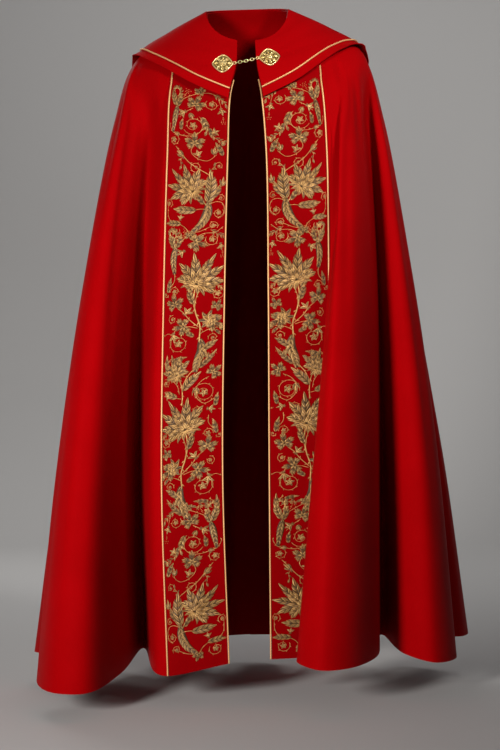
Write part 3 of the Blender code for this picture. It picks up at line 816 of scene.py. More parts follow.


# a swelling trunk: slanted strokes that lie over each other on both sides of a middle darkened as painted
# shade, and reach past its edges; the strokes are lighter and darker in turn, as painted light and shade
def trunk(points, width, tone=1.0, strokes=12):
    points = np.asarray(points, dtype=float)
    path = smoothThrough(np.column_stack([points, np.zeros(len(points))]), [10] * (len(points) - 1))[:, :2]
    share = np.linspace(0, 1, len(path))
    swell = 0.30 + 0.70 * np.sin(math.pi * np.clip(share, 0, 1) ** 0.8)
    # the middle's low tone is painted shade between the strokes
    made = [strand(path, width / 2 * swell, 0.9, "leaf", tone * 0.35)]
    for number, place in enumerate(np.linspace(0.02, 0.88, strokes)):
        root = readAlong(path, share, [place])[0]
        spot = int(place * (len(path) - 1))
        step = path[spot + 1] - path[spot]
        heading = math.degrees(math.atan2(step[1], step[0]))
        reach = width * (0.36 + 0.50 * math.sin(math.pi * place ** 0.8))
        for sign in (-1, 1):
            # alternate strokes lighter and darker: painted light and shade
            shade = tone * (1.15 if (number + sign) % 2 else 0.7)
            made.append(lobe(root, heading + sign * 40, reach, reach * 0.27, -sign * 34, 1.9,
                             "blade", shade, 5, 0.12 * (number % 3)))
    return made


# a tendril that winds into a flower: its reach shrinks evenly while it turns
def spiral(centre, radius, start, turns=1.35, hand=1, flower=0.42, thorns=4, tone=0.9):
    share = np.linspace(0, 1, int(16 * turns) + 8)
    turn = np.radians(start) + hand * share * turns * 2 * math.pi
    reach = radius * (1 - 0.74 * share ** 1.15)
    centre = np.asarray(centre, dtype=float)
    path = centre + reach[:, None] * np.stack([np.cos(turn), np.sin(turn)], axis=1)
    made = [strand(path, np.interp(share, [0, 1], [0.62, 0.42]), 1.0, "thread", tone)]
    for spot in np.linspace(2, len(path) * 0.62, thorns).astype(int):
        outwards = math.degrees(turn[spot]) + hand * 30
        made.append(lobe(path[spot], outwards, 2.6 + radius * 0.08, 1.5, hand * 40, 1.1, "thread", tone, 4))
    if flower:
        size = radius * flower * 2
        for number in range(5):
            made.append(lobe(centre, start + 72 * number, size * 0.52, size * 0.32, 12, 1.8, tone=1.1,
                             count=4, lift=0.2))
    return made


# a spray of knots, in rows that widen away from its root
def knots(place, angle, length, rows=5, spread=16):
    made = []
    for row in range(rows):
        count = 1 + (row % 2) + (1 if row > 2 else 0)
        for number in range(count):
            heading = math.radians(angle + spread * (number - (count - 1) / 2))
            reach = length * (row + 1) / rows
            spot = np.asarray(place, dtype=float) + reach * np.array([math.cos(heading), math.sin(heading)])
            made.append(lobe(spot, angle, 1.9, 1.8, 0, 1.2, "thread", 0.95, 4))
    return made


# a spray of small leaves along a thin stem
def spray(points, leaves=6, size=5.0, tone=0.9):
    made = stem(points, (1.2, 0.7), 0, tone=tone)
    points = np.asarray(points, dtype=float)
    path = smoothThrough(np.column_stack([points, np.zeros(len(points))]), [6] * (len(points) - 1))[:, :2]
    for number, spot in enumerate(np.linspace(1, len(path) - 2, leaves).astype(int)):
        step = path[spot + 1] - path[spot]
        heading = math.degrees(math.atan2(step[1], step[0])) + (42 if number % 2 else -42)
        # alternate leaves lighter and darker: painted light and shade
        shade = tone * (1.15 if number % 2 else 0.85)
        made.append(lobe(path[spot], heading, size * 1.25, size * 0.55, 0, 1.7, tone=shade, count=5))
    made.append(lobe(path[-1], heading, size * 1.25, size * 0.55, 0, 1.7, tone=tone, count=5))
    return made


# three passages of the vine. Each row is a motif and what it is called with; the stems come first
vine = {
    "head": (
        (stem, ([(-38, 42), (-28, 30), (-10, 18), (6, 10)], (1.6, 1.2), 4, 4.0)),
        (stem, ([(6, 10), (24, 8), (40, 14), (54, 26)], (1.2, 1.0), 3, 4.0)),
        (stem, ([(-46, 98), (-34, 101), (-14, 104), (4, 99), (18, 82)], (1.5, 1.1), 6, 4.5)),
        (stem, ([(0, 118), (-6, 136), (6, 150), (24, 154), (40, 140)], (1.5, 1.1), 3, 4.0)),
        (stem, ([(-38, 126), (-24, 142), (-8, 160), (12, 174), (30, 188), (30, 214)], (1.6, 2.0), 6, 4.5)),
        (stem, ([(28, 246), (42, 240), (54, 244), (57, 262), (46, 274)], (1.4, 1.1), 3, 4.0)),
        (stem, ([(30, 244), (38, 222), (52, 206)], (1.4, 1.1), 3, 4.0)),
        (stem, ([(-54, 252), (-53, 268), (-46, 280), (-26, 286)], (1.1, 1.4), 4, 4.0)),
        (stem, ([(-6, 306), (-14, 294), (-26, 286)], (1.6, 1.3), 1)),
        (stem, ([(-6, 306), (14, 302), (30, 294), (44, 290)], (1.5, 1.1), 3, 4.0)),
        (stem, ([(24, 250), (14, 232), (2, 220)], (2.2, 1.8), 2, 5.0)),
        (stem, ([(22, 256), (12, 256), (2, 258)], (1.8, 1.4), 0)),
        (stem, ([(-46, 98), (-54, 88), (-56, 80)], (1.2, 0.9), 2, 4.0)),
        (frond, ((-40, 42), -104, 34, 18, 6, -16)),
        (frond, ((-36, 44), -66, 32, 14, 5, -12)),
        (curledHead, ((-42, 12), 60, 30, -1)),
        (trunk, ([(-36, 42), (-41, 66), (-46, 98)], 15)),
        (knots, ((-24, 24), -64, 20, 6)),
        (vineLeaf, ((5, 4), 60, 24)),
        (spiral, ((29, 33), 12, -140, 1.3, -1, 0.5)),
        (spray, ([(30, 10), (42, 18), (56, 30)], 8, 7)),
        (lily, ((46, 42), 70, 17)),
        (stem, ([(40, 20), (44, 32), (46, 42)], (1.0, 0.9), 0)),
        (knots, ((50, 54), 84, 18, 5)),
        (vineLeaf, ((0, 36), -70, 40)),
        (lily, ((-20, 54), 150, 19)),
        (bud, ((-10, 56), 60, 13)),
        (stem, ([(-4, 44), (-18, 54), (-30, 66)], (1.4, 1.1), 1)),
        (spiral, ((-3, 81), 20, 150, 1.5, -1, 0.40, 8)),
        (frond, ((-26, 92), -96, 26, 11, 4, 22)),
        (bud, ((-30, 100), 170, 11)),
        (spray, ([(8, 62), (18, 76), (22, 94)], 8, 7)),
        (frond, ((12, 62), 62, 34, 15, 5, 18)),
        (frond, ((26, 84), 74, 22, 10, 4, 10)),
        (lily, ((32, 94), -30, 17)),
        (spray, ([(28, 98), (42, 108), (56, 112)], 7, 7)),
        (spiral, ((-42, 113), 12, -80, 1.2, 1, 0.56, 6)),
        (vineLeaf, ((0, 118), -90, 42)),
        (lily, ((8, 144), -110, 17)),
        (bud, ((34, 140), -80, 16)),
        (frond, ((52, 142), -110, 34, 14, 5, -14)),
        (bud, ((50, 120), -70, 12)),
        (bud, ((-22, 146), -140, 16)),
        (spray, ([(-20, 144), (-26, 156), (-24, 168)], 4, 6)),
        (spiral, ((4, 168), 11, 100, 1.1, 1, 0.3, 4)),
        (spiral, ((45, 164), 9, 120, 1.2, 1, 0.35, 3)),
        (spray, ([(34, 190), (30, 176), (38, 164)], 5, 6)),
        (palmette, ((0, 220), -138, 66)),
        (frond, ((26, 244), -76, 74, 27, 8, -20)),
        (frond, ((34, 232), -52, 34, 15, 5, -20)),
        (spiral, ((12, 202), 8, 150, 1.2, 1, 0.4, 2)),
        (bud, ((53, 206), -86, 18)),
        (spiral, ((51, 232), 7, -120, 1.2, 1, 0.4, 2)),
        (spiral, ((46, 264), 11, -40, 1.3, 1, 0.5, 4)),
        (trunk, ([(27, 240), (26, 262), (17, 284), (-3, 306)], 19, 1.0, 16)),
        (frond, ((20, 246), -128, 32, 13, 5, 10)),
        (frond, ((6, 258), 178, 48, 20, 7, 10)),
        (spiral, ((-51, 244), 9, 60, 1.3, -1, 0.5, 3)),
        (frond, ((-22, 286), 186, 38, 15, 6, -8)),
        (spiral, ((-37, 303), 13, -30, 1.3, 1, 0.5, 5)),
        (lily, ((-24, 276), -80, 13)),
        (spiral, ((37, 290), 9, 40, 1.2, -1, 0.5, 3)),
        (vineLeaf, ((-5, 308), 70, 24)),
    ),
    "middle": (
        (stem, ([(-2, 0), (-16, 14), (-32, 34)], (1.6, 1.6), 4, 4.0)),
        (stem, ([(0, 16), (20, 4), (40, 2), (56, -10)], (1.5, 1.1), 4, 4.0)),
        (stem, ([(-34, 84), (-34, 100), (-46, 116)], (1.6, 1.2), 2, 4.0)),
        (stem, ([(8, 108), (4, 140), (8, 168), (16, 196), (15, 228)], (3.6, 3.4), 8, 7.0)),
        (stem, ([(6, 160), (10, 132), (24, 114), (44, 112), (58, 120)], (1.5, 1.1), 6, 4.5)),
        (stem, ([(14, 198), (-4, 180), (-14, 166), (-26, 156)], (2.0, 1.6), 4, 5.0)),
        (stem, ([(16, 212), (32, 204), (50, 202)], (1.5, 1.1), 3, 4.0)),
        (stem, ([(12, 200), (0, 196), (-14, 194)], (1.6, 1.3), 0)),
        (stem, ([(-30, 200), (-38, 214), (-40, 232)], (1.3, 1.1), 1)),
        (stem, ([(-34, 210), (-48, 207), (-58, 212)], (1.2, 0.9), 2, 4.0)),
        (stem, ([(-42, 296), (-48, 282), (-44, 264), (-34, 256)], (1.8, 1.1), 5, 5.0)),
        (stem, ([(20, 186), (26, 190), (34, 186)], (2.0, 1.8), 0)),
        (frond, ((-36, 34), -104, 34, 18, 6, -16)),
        (frond, ((-30, 32), -66, 32, 14, 5, -12)),
        (curledHead, ((-42, 4), 60, 30, -1)),
        (trunk, ([(-32, 30), (-37, 54), (-34, 86)], 17)),
        (knots, ((-20, 14), -64, 20, 6)),
        (vineLeaf, ((6, 22), 20, 42)),
        (lily, ((-17, 40), 150, 19)),
        (spiral, ((36, 17), 13, -150, 1.3, -1, 0.5, 5)),
        (spray, ([(32, -4), (46, 6), (58, 10)], 8, 7)),
        (lily, ((52, 28), 80, 16)),
        (knots, ((56, 38), 92, 16, 5)),
        (palmette, ((8, 110), -64, 74)),
        (frond, ((2, 124), -124, 40, 16, 6, 16)),
        (frond, ((4, 150), -112, 38, 15, 6, 12)),
        (spiral, ((-33, 121), 10, 170, 1.2, 1, 0.55, 4)),
        (spiral, ((-54, 127), 6, 0, 0.9, 1, 0.4, 2)),
        (frond, ((-49, 124), -82, 34, 13, 5, 10)),
        (vineLeaf, ((-32, 148), -100, 42)),
        (lily, ((-10, 168), -50, 20)),
        (spiral, ((-37, 178), 9, -80, 1.3, -1, 0.45, 3)),
        (vineLeaf, ((-14, 194), 170, 42)),
        (spiral, ((48, 131), 13, -70, 1.3, 1, 0.55, 6)),
        (spray, ([(36, 110), (48, 115), (59, 124)], 7, 6)),
        (vineLeaf, ((40, 190), 30, 42)),
        (rose, ((32, 184), -40, 40)),
        (vineLeaf, ((46, 158), -60, 28)),
        (bud, ((52, 204), -20, 18)),
        (frond, ((44, 206), 40, 16, 9, 3, 10)),
        (spiral, ((40, 222), 9, 160, 1.2, 1, 0.4, 4)),
        (lily, ((-34, 210), 80, 22)),
        (spiral, ((-23, 228), 19, 200, 1.35, -1, 0.46, 7)),
        (trunk, ([(17, 222), (20, 246), (13, 268), (8, 290)], 20, 1.0, 15)),
        (frond, ((20, 248), -44, 38, 15, 6, 16)),
        (frond, ((6, 216), -150, 22, 12, 4, 10)),
        (frond, ((14, 282), -38, 52, 13, 8, -14)),
        (frond, ((-46, 290), -100, 42, 14, 6, 12)),
        (frond, ((-34, 262), -14, 30, 10, 5, 8)),
        (spray, ([(-40, 276), (-24, 268), (-8, 270)], 7, 7)),
        (knots, ((34, 268), -60, 18, 6)),
        (bud, ((30, 262), -100, 13)),
    ),
    "link": (
        (stem, ([(-22, 26), (-16, 44), (-14, 66), (-15, 84)], (2.0, 3.0), 4, 5.0)),
        (stem, ([(10, 8), (-4, 24), (-14, 44)], (2.4, 2.2), 3, 5.0)),
        (stem, ([(14, 54), (12, 70), (26, 84), (44, 76)], (1.5, 1.2), 5, 4.5)),
        (stem, ([(-20, 60), (-24, 44), (-38, 30), (-54, 36)], (1.4, 1.1), 4, 4.0)),
        (stem, ([(-16, 70), (-24, 68), (-30, 66)], (1.6, 1.3), 0)),
        (stem, ([(34, 30), (22, 36), (12, 48), (12, 58)], (1.4, 1.1), 2, 4.0)),
        (palmette, ((-26, 22), -108, 46)),
        (lily, ((-25, 26), 90, 18)),
        (frond, ((-14, 54), -54, 52, 20, 7, 12)),
        (vineLeaf, ((42, 22), -40, 36)),
        (spiral, ((-50, 36), 9, -110, 1.2, 1, 0.5, 3)),
        (frond, ((-24, 66), -164, 34, 17, 5, 10)),
        (lily, ((-42, 60), 170, 17)),
        (spiral, ((25, 62), 21, 170, 1.6, 1, 0.40, 8)),
        (bud, ((12, 50), 100, 17)),
        (frond, ((46, 92), -84, 30, 12, 5, 10)),
        (lily, ((34, 96), 10, 17)),
        (spiral, ((12, 98), 10, 20, 1.0, -1, 0.3, 4)),
        (knots, ((50, 98), 10, 8, 3)),
    ),
}
# passages down the band: where each begins, the side it is drawn on, and the part of it that is used
passages = table(
    ("name", "down", "hand", "fromDown"),
    ("head", 0.0, 1, 0),
    ("middle", 303.0, 1, 0),
    ("link", 575.0, 1, 0),
    ("middle", 600.0, -1, 60),
    ("head", 862.0, -1, 0),
)


# a passage's place on the band: each motif is made where it is drawn, then moved down and, for the other
# hand, turned over, which also turns its faces
def vineParts():
    made = []
    for passage in passages:
        for motif, given in vine[passage["name"]]:
            pieces = motif(*given)
            pieces = pieces if isinstance(pieces, list) else [pieces]
            first = np.concatenate([piece[0] for piece in pieces])
            if first[:, 1].mean() < passage["fromDown"]:
                continue
            for points, faces, triangles, uv, values in pieces:
                points = points * [passage["hand"], 1, 1] + [0, passage["down"], 0]
                if passage["hand"] < 0:
                    faces, triangles = faces[:, ::-1], triangles[:, ::-1]
                made.append((points, faces, triangles, uv, values))
    return joined(made)


# reads a band's face and normals between its grid's points
def onBand(face, out, points, start):
    columns, rows = face.shape[:2]
    down = runningLength(face[columns // 2]) * 1000
    row = np.interp(points[:, 1] + start, down, np.arange(rows))
    column = np.clip(0.5 - points[:, 0] / (2 * goldWork["halfWidth"]), 0, 1) * (columns - 1)
    i, j = np.minimum(column.astype(int), columns - 2), np.minimum(row.astype(int), rows - 2)
    a, b = (column - i)[:, None], (row - j)[:, None]
    read = [(1 - a) * (1 - b) * grid[i, j] + a * (1 - b) * grid[i + 1, j] + (1 - a) * b * grid[i, j + 1]
            + a * b * grid[i + 1, j + 1] for grid in (face, out)]
    return read[0] + unit(read[1]) * points[:, 2:] / 1000


def makeGoldWork(side, face, out):
    points, faces, triangles, uv, values = vineParts()
    sewn = onBand(face, out, points, goldWork["starts"][side])
    return meshObject("gold_work_" + sideNames[side], sewn, faces, uv, values, triangles)


# the clasp: two domed plates sewn to the hood and a chain between their eyes. Sizes are in metres; the
# plates' ornament is drawn in millimetres as the gold work is
clasp = {
    "halfWidth": 0.0225, "halfHeight": 0.0235, "eyeRadius": 0.0033, "eyeWire": 0.0007, "eyeReach": 0.0020,
    "eyeHeight": 0.0028, "links": 7, "linkWire": 0.0006, "linkHalfWidth": 0.0027, "linkPlay": 0.0003,
    "linkTurn": 45.0, "sag": 0.0009,
}
# where each plate lies on the hood: share round, share of the way from neck to piping, roll in degrees
platePlaces = {-1: dict(share=0.061, down=0.61, roll=-2.0), 1: dict(share=0.066, down=0.50, roll=9.0)}
# a plate's profile from its middle out: share of its half width, height in millimetres, and tone
# the tone is painted shade on the low ground round the ornament and a painted highlight on the raised rim
plateProfile = np.array([
    (0, 3.1, 0.16), (0.2, 3.0, 0.16), (0.42, 2.6, 0.14), (0.66, 1.9, 0.12), (0.84, 1.3, 0.10),
    (0.88, 1.5, 0.35), (0.93, 2.1, 0.95), (0.98, 1.9, 1.0), (1.0, 1.2, 0.8), (1.0, 0.0, 0.3),
    (0.0, 0.0, 0.3),
])
plateCurve = 1.36  # how square the plate's rise is: 1 is a diamond and 2 is an ellipse


def plateFrame(side, share, down, roll):
    step = 0.01
    shares = [share - step, share, share + step]
    points, stand = hoodLines(side, shares, [down - step, down, down + step])
    points = points + outward(points, side) * stand[..., None]
    normal = Vector(outward(points, side)[1, 1])
    across = Vector((1, 0, 0))
    across = (across - normal * across.dot(normal)).normalized()
    facing = Matrix((across, normal.cross(across), normal)).transposed()
    turned = facing @ Matrix.Rotation(math.radians(roll), 3, "Z")
    place = Vector(points[1, 1]) + normal * (hood["wall"] + 0.0005)
    return Matrix.Translation(place) @ turned.to_4x4()


def placed(frame, points):
    turned = np.array(frame.to_3x3())
    return points @ turned.T + np.array(frame.translation)


# the outline is a diamond on its corner, |x|^p + |y|^p = 1: its sides are nearly straight and three of its
# corners round, and p falls towards the inner tip, which is pointed
def plateOutline(turn, inwards):
    power = 2 / (1.42 - 0.26 * np.maximum(inwards * np.cos(turn), 0) ** 4)
    x = clasp["halfWidth"] * 1000 * np.sign(np.cos(turn)) * np.abs(np.cos(turn)) ** power
    y = clasp["halfHeight"] * 1000 * np.sign(np.sin(turn)) * np.abs(np.sin(turn)) ** power
    return np.stack([x, y], axis=-1)


# the plate's height under a point, from how far out it is as a share of the outline
def plateHeight(flat):
    x = np.abs(flat[:, 0] / clasp["halfWidth"]) / 1000
    y = np.abs(flat[:, 1] / clasp["halfHeight"]) / 1000
    share = (x ** plateCurve + y ** plateCurve) ** (1 / plateCurve)
    return np.interp(share, plateProfile[:8, 0], plateProfile[:8, 1])


# a round bead: a strand as long as it is wide
def bead(place, size, height):
    return lobe(np.asarray(place) - [size / 2, 0], 0, size, size, 0, height, "thread", 1.1, 5)


# the ornament's tones stand above the ground's, as a painted highlight on the raised work
def plateOrnament():
    made = []
    for number in range(8):
        made.append(lobe((0, 0), 45 * number, 6.4, 2.9, 0, 2.0, tone=1.2, count=6, lift=0.3))
        made.append(lobe((0, 0), 45 * number + 22.5, 7.6, 1.6, 0, 1.2, tone=0.9, count=6))
    made.append(bead((0, 0), 3.2, 3.4))
    ring = np.linspace(0, 2 * math.pi, 41)
    for turn in ring[:-1:2]:
        made.append(bead((8.6 * math.cos(turn), 7.9 * math.sin(turn)), 1.3, 1.2))
    made.append(strand(np.stack([7.4 * np.cos(ring), 7.0 * np.sin(ring)], axis=1), 0.35, 0.9))
    for turn, reach in ((0, 9.0), (90, 10.5), (180, 9.0), (270, 10.5)):
        root = 9.6 * np.array([math.cos(math.radians(turn)), 0.95 * math.sin(math.radians(turn))])
        made += frond(root, turn, reach, 6.4, 4, 0, 1.25, 1.7, 46)
    for x in (-1, 1):
        for y in (-1, 1):
            hand = x * y
            made += spiral((x * 9.4, y * 9.0), 3.2, 200 if x < 0 else -20, 1.3, hand, 0.42, 0, 1.25)
            outer = math.degrees(math.atan2(y * 0.45, x))
            upper = math.degrees(math.atan2(y * 1.4, x * 0.5))
            made.append(lobe((x * 6.4, y * 7.0), outer, 7.4, 1.8, hand * 46, 1.7, tone=1.25, count=6))
            made.append(lobe((x * 5.2, y * 8.4), upper, 6.4, 1.7, -hand * 46, 1.7, tone=1.2, count=6))
            made.append(bead((x * 13.6, y * 5.6), 1.6, 1.8))
            made.append(bead((x * 5.6, y * 13.4), 1.6, 1.8))
    points, faces, triangles, uv, values = joined(made)
    points = points.copy()
    points[:, 2] += plateHeight(points[:, :2])
    return points, faces, triangles, uv, values


# a roped rim: a two-strand cord along the outline, with a painted highlight on the strands' swells and
# painted shade between them
def plateRope(inwards):
    turn = np.linspace(0, 2 * math.pi, 181)[:-1]
    line = plateOutline(turn, inwards) * 0.945
    path = np.concatenate([line, np.full((len(line), 1), 2.0)], axis=1)
    points, uv = tubeMesh(path, 1.0, 10, front=(0, 0, 1), closed=True)
    angle = np.linspace(0, 2 * math.pi, 11)[None, :] + 18 * turn[:, None]
    swell = 0.72 + 0.28 * np.abs(np.cos(angle))
    points = path[:, None] + (points - path[:, None]) * swell[..., None]
    return tubeParts(points, uv / 1000, {"tone": swell * 1.6 - 0.5}, closed=True)


def plateBase(inwards):
    turn = np.linspace(0, 2 * math.pi, 97)[:-1]
    outline = plateOutline(turn, inwards)
    share, height, tone = plateProfile[1:-1].T
    points = np.concatenate([outline[None] * share[:, None, None],
                             np.broadcast_to(height[:, None, None], (len(share), len(turn), 1))], axis=2)
    points = np.concatenate([points, points[:, :1]], axis=1)
    # the profile's tones: painted shade on the ground, a painted highlight on the rim
    tones = np.broadcast_to(tone[:, None], points.shape[:2])
    parts = tubeParts(points, points[..., :2] / 1000, {"tone": tones})
    parts[0][-2:, 2] = (plateProfile[0, 1], 0.0)
    return parts


def makePlate(side):
    frame = plateFrame(side, **platePlaces[side])
    inwards = -side
    parts = [plateBase(inwards), plateRope(inwards), plateOrnament(), plateEye(inwards)]
    points, faces, triangles, uv, values = joined(parts)
    made = meshObject("clasp_" + sideNames[side], placed(frame, points / 1000), faces, uv, values, triangles)
    across = inwards * (clasp["halfWidth"] + clasp["eyeReach"])
    return made, frame @ Matrix.Translation((across, 0, clasp["eyeHeight"]))


def plateEye(inwards):
    turn = np.linspace(0, 2 * math.pi, 33)[:-1]
    radius = clasp["eyeRadius"] * 1000
    centre = inwards * (clasp["halfWidth"] + clasp["eyeReach"]) * 1000
    height = np.full(len(turn), clasp["eyeHeight"] * 1000)
    path = np.stack([centre + radius * np.cos(turn), radius * np.sin(turn), height], axis=1)
    points, uv = tubeMesh(path, clasp["eyeWire"] * 1000, 8, front=(0, 0, 1), closed=True)
    return tubeParts(points, uv / 1000, {"tone": np.full(points.shape[:2], 0.95)}, closed=True)


# seven oval links between the eyes, each turned against the next and hanging in a slight curve
def makeLinks(firstEye, lastEye):
    start, end = firstEye.translation, lastEye.translation
    run = end - start
    endsInEyes = clasp["eyeRadius"] - clasp["eyeWire"] - clasp["linkWire"] - clasp["linkPlay"]
    overlap = 2 * clasp["linkWire"] + clasp["linkPlay"]
    pitch = (run.length - 2 * endsInEyes - overlap) / clasp["links"]
    halfLength = (pitch + overlap) / 2
    along = run.normalized()
    front = firstEye.col[2].to_3d() + lastEye.col[2].to_3d()
    front = (front - along * front.dot(along)).normalized()
    turn = (np.arange(40) + 0.5) * 2 * math.pi / 40
    x = clasp["linkHalfWidth"] * np.cos(turn) + (halfLength - clasp["linkHalfWidth"]) * np.sign(np.cos(turn))
    path = np.stack([x, clasp["linkHalfWidth"] * np.sin(turn), np.zeros(40)], axis=1)
    points, uv = tubeMesh(path, clasp["linkWire"] * 1.05, 10, front=(0, 0, 1), closed=True)
    made = []
    for number in range(clasp["links"]):
        share = number / (clasp["links"] - 1)
        place = start + along * (endsInEyes + halfLength + number * pitch)
        place = place - Vector((0, 0, 4 * clasp["sag"] * share * (1 - share)))
        lean = math.radians(clasp["linkTurn"] if number % 2 else -clasp["linkTurn"])
        facing = Matrix((along, front.cross(along), front)).transposed() @ Matrix.Rotation(lean, 3, "X")
        frame = Matrix.Translation(place) @ facing.to_4x4()
        link = placed(frame, points.reshape(-1, 3)).reshape(points.shape)
        tone = {"tone": np.full(points.shape[:2], 0.95)}
        made.append(tubeObject("link_%d" % (number + 1), link, uv, tone, closed=True))
    return made


# materials: gives a node's inputs as values or as other nodes' outputs
def feed(tree, node, inputs):
    for socket, value in inputs.items():
        if isinstance(value, bpy.types.NodeSocket):
            tree.links.new(value, node.inputs[socket])
        else:
            node.inputs[socket].default_value = value


def addNode(tree, kind, inputs=None, **settings):
    node = tree.nodes.new(kind)
    for name, value in settings.items():
        setattr(node, name, value)
    feed(tree, node, inputs or {})
    return node


def newGroup(name, inputs, outputs):
    tree = bpy.data.node_groups.new(name, "ShaderNodeTree")
    for label, kind, value in inputs:
        socket = tree.interface.new_socket(label, in_out="INPUT", socket_type="NodeSocket" + kind)
        if value is not None:
            socket.default_value = value
    for label, kind in outputs:
        tree.interface.new_socket(label, in_out="OUTPUT", socket_type="NodeSocket" + kind)
    return tree, tree.nodes.new("NodeGroupInput").outputs, tree.nodes.new("NodeGroupOutput").inputs


def mathNode(tree, operation, first, second=0.0, third=0.0, clamp=False):
    inputs = {0: first, 1: second, 2: third}
    return addNode(tree, "ShaderNodeMath", inputs, operation=operation, use_clamp=clamp).outputs[0]


def wave(tree, place, scale, distortion, detail, direction):
    inputs = {"Vector": place, "Scale": scale, "Distortion": distortion, "Detail": detail}
    node = addNode(tree, "ShaderNodeTexWave", inputs, wave_type="BANDS", bands_direction=direction)
    return node.outputs["Fac"]


def noise(tree, place, scale, detail):
    inputs = {"Vector": place, "Scale": scale, "Detail": detail}
    return addNode(tree, "ShaderNodeTexNoise", inputs).outputs["Fac"]


def mapped(tree, place, degrees=0.0, scale=(1.0, 1.0, 1.0)):
    inputs = {"Vector": place, "Rotation": (0, 0, math.radians(degrees)), "Scale": scale}
    return addNode(tree, "ShaderNodeMapping", inputs).outputs[0]


def addBump(tree, shader, height, strength, distance):
    inputs = {"Height": height, "Strength": strength, "Distance": distance}
    tree.links.new(addNode(tree, "ShaderNodeBump", inputs).outputs[0], shader.inputs["Normal"])


# the flat cut's UV map, a value stored at the points, and the place on the object
def cutPlace(tree):
    return addNode(tree, "ShaderNodeUVMap", uv_map="cut").outputs[0]


def pointValue(tree, name):
    return addNode(tree, "ShaderNodeAttribute", attribute_name=name).outputs["Fac"]


def objectPlace(tree):
    return addNode(tree, "ShaderNodeTexCoord").outputs["Object"]


# a colour ramp: stops are a place and a colour
def ramp(tree, level, *stops):
    node = addNode(tree, "ShaderNodeValToRGB", {"Fac": level})
    elements = node.color_ramp.elements
    elements[0].position, elements[0].color = stops[0][0], (*stops[0][1], 1)
    elements[1].position, elements[1].color = stops[-1][0], (*stops[-1][1], 1)
    for place, colour in stops[1:-1]:
        elements.new(place).color = (*colour, 1)
    return node.outputs["Color"]


# weave: fine diagonal ribs of a twill crossed by its threads, with a slow unevenness. Height is for a
# bump, and tone lightens and darkens the yarn
def makeWeaveGroup():
    tree, given, out = newGroup(
        "weave",
        [("Position", "Vector", None), ("Ribs", "Float", 450.0), ("Slub", "Float", 0.5)],
        [("Height", "Float"), ("Tone", "Float")],
    )
    ribs = wave(tree, mapped(tree, given["Position"], 52), given["Ribs"], 0.4, 0.0, "X")
    threads = wave(tree, given["Position"], given["Ribs"], 0.3, 0.0, "Y")
    slub = noise(tree, mapped(tree, given["Position"], scale=(1.0, 0.12, 1.0)), 320.0, 2.0)
    slow = noise(tree, given["Position"], 9.0, 3.0)
    both = mathNode(tree, "MULTIPLY_ADD", ribs, 0.6, mathNode(tree, "MULTIPLY", threads, 0.3))
    uneven = mathNode(tree, "MULTIPLY", slub, given["Slub"])
    tree.links.new(mathNode(tree, "ADD", both, uneven), out["Height"])
    tone = mathNode(tree, "MULTIPLY_ADD", slow, 0.7, mathNode(tree, "MULTIPLY", both, 0.15))
    tree.links.new(mathNode(tree, "MULTIPLY_ADD", slub, 0.25, tone), out["Tone"])
    return tree


# a row of stitches at a distance from an edge: a groove with a dimple at every stitch, for a bump
def makeStitchGroup():
    tree, given, out = newGroup(
        "stitchRow",
        [("Distance", "Float", 0.0), ("Along", "Float", 0.0), ("Inset", "Float", 0.022),
         ("Length", "Float", 0.003)],
        [("Height", "Float")],
    )
    off = mathNode(tree, "ABSOLUTE", mathNode(tree, "SUBTRACT", given["Distance"], given["Inset"]))
    near = mathNode(tree, "SUBTRACT", 1.0, mathNode(tree, "DIVIDE", off, 0.0012), clamp=True)
    phase = mathNode(tree, "FRACT", mathNode(tree, "DIVIDE", given["Along"], given["Length"]))
    between = mathNode(tree, "ABSOLUTE", mathNode(tree, "SUBTRACT", phase, 0.5))
    dimple = mathNode(tree, "SUBTRACT", 1.0, mathNode(tree, "MULTIPLY", between, 1.6), clamp=True)
    tree.links.new(mathNode(tree, "MULTIPLY", mathNode(tree, "MULTIPLY", near, dimple), -1.0), out["Height"])
    return tree


groups = {"weave": makeWeaveGroup(), "stitchRow": makeStitchGroup()}


def addGroup(tree, name, inputs):
    return addNode(tree, "ShaderNodeGroup", inputs, node_tree=groups[name]).outputs


def newMaterial(name, numbers):
    made = bpy.data.materials.new(name)
    made.use_nodes = True
    shader = made.node_tree.nodes["Principled BSDF"]
    feed(made.node_tree, shader, numbers)
    return made, made.node_tree, shader


# a mix of two colours, each a colour or a node's output
def mixColour(tree, share, first, second):
    inputs = {0: share}
    for socket, colour in ((6, first), (7, second)):
        inputs[socket] = colour if isinstance(colour, bpy.types.NodeSocket) else (*colour, 1.0)
    return addNode(tree, "ShaderNodeMix", inputs, data_type="RGBA").outputs[2]


# wool cloth with a satin face, in two reds that its yarn moves between
wool = dict(dark=(0.23, 0.0002, 0.0008), light=(0.345, 0.0004, 0.0018), ribs=420.0, bump=0.28, hem=0.024)
satin = dict(dark=(0.17, 0.0002, 0.0008), light=(0.25, 0.0004, 0.0018), ribs=520.0, bump=0.20, hem=0.015)
clothLooks = {"red_wool": wool, "band_satin": satin, "hood_wool": {**wool, "hem": 0.004}}


def makeClothMaterial(name, look):
    made, tree, shader = newMaterial(name, {
        "Specular IOR Level": 0.08, "Specular Tint": (1.0, 0.05, 0.06, 1.0), "Sheen Weight": 0.06,
        "Sheen Roughness": 0.5, "Sheen Tint": (1.0, 0.04, 0.04, 1.0)})
    place = cutPlace(tree)
    weave = addGroup(tree, "weave", {"Position": place, "Ribs": look["ribs"], "Slub": 0.5})
    tree.links.new(mixColour(tree, weave["Tone"], look["dark"], look["light"]), shader.inputs["Base Color"])
    along = addNode(tree, "ShaderNodeSeparateXYZ", {0: place}).outputs[0]
    stitches = addGroup(tree, "stitchRow", {"Distance": pointValue(tree, "fromHem"), "Along": along,
                                            "Inset": look["hem"]})
    height = mathNode(tree, "MULTIPLY_ADD", stitches["Height"], 1.6, weave["Height"])
    addBump(tree, shader, height, look["bump"], 0.00025)
    tree.links.new(mathNode(tree, "MULTIPLY_ADD", weave["Tone"], -0.10, 0.66), shader.inputs["Roughness"])
    return made
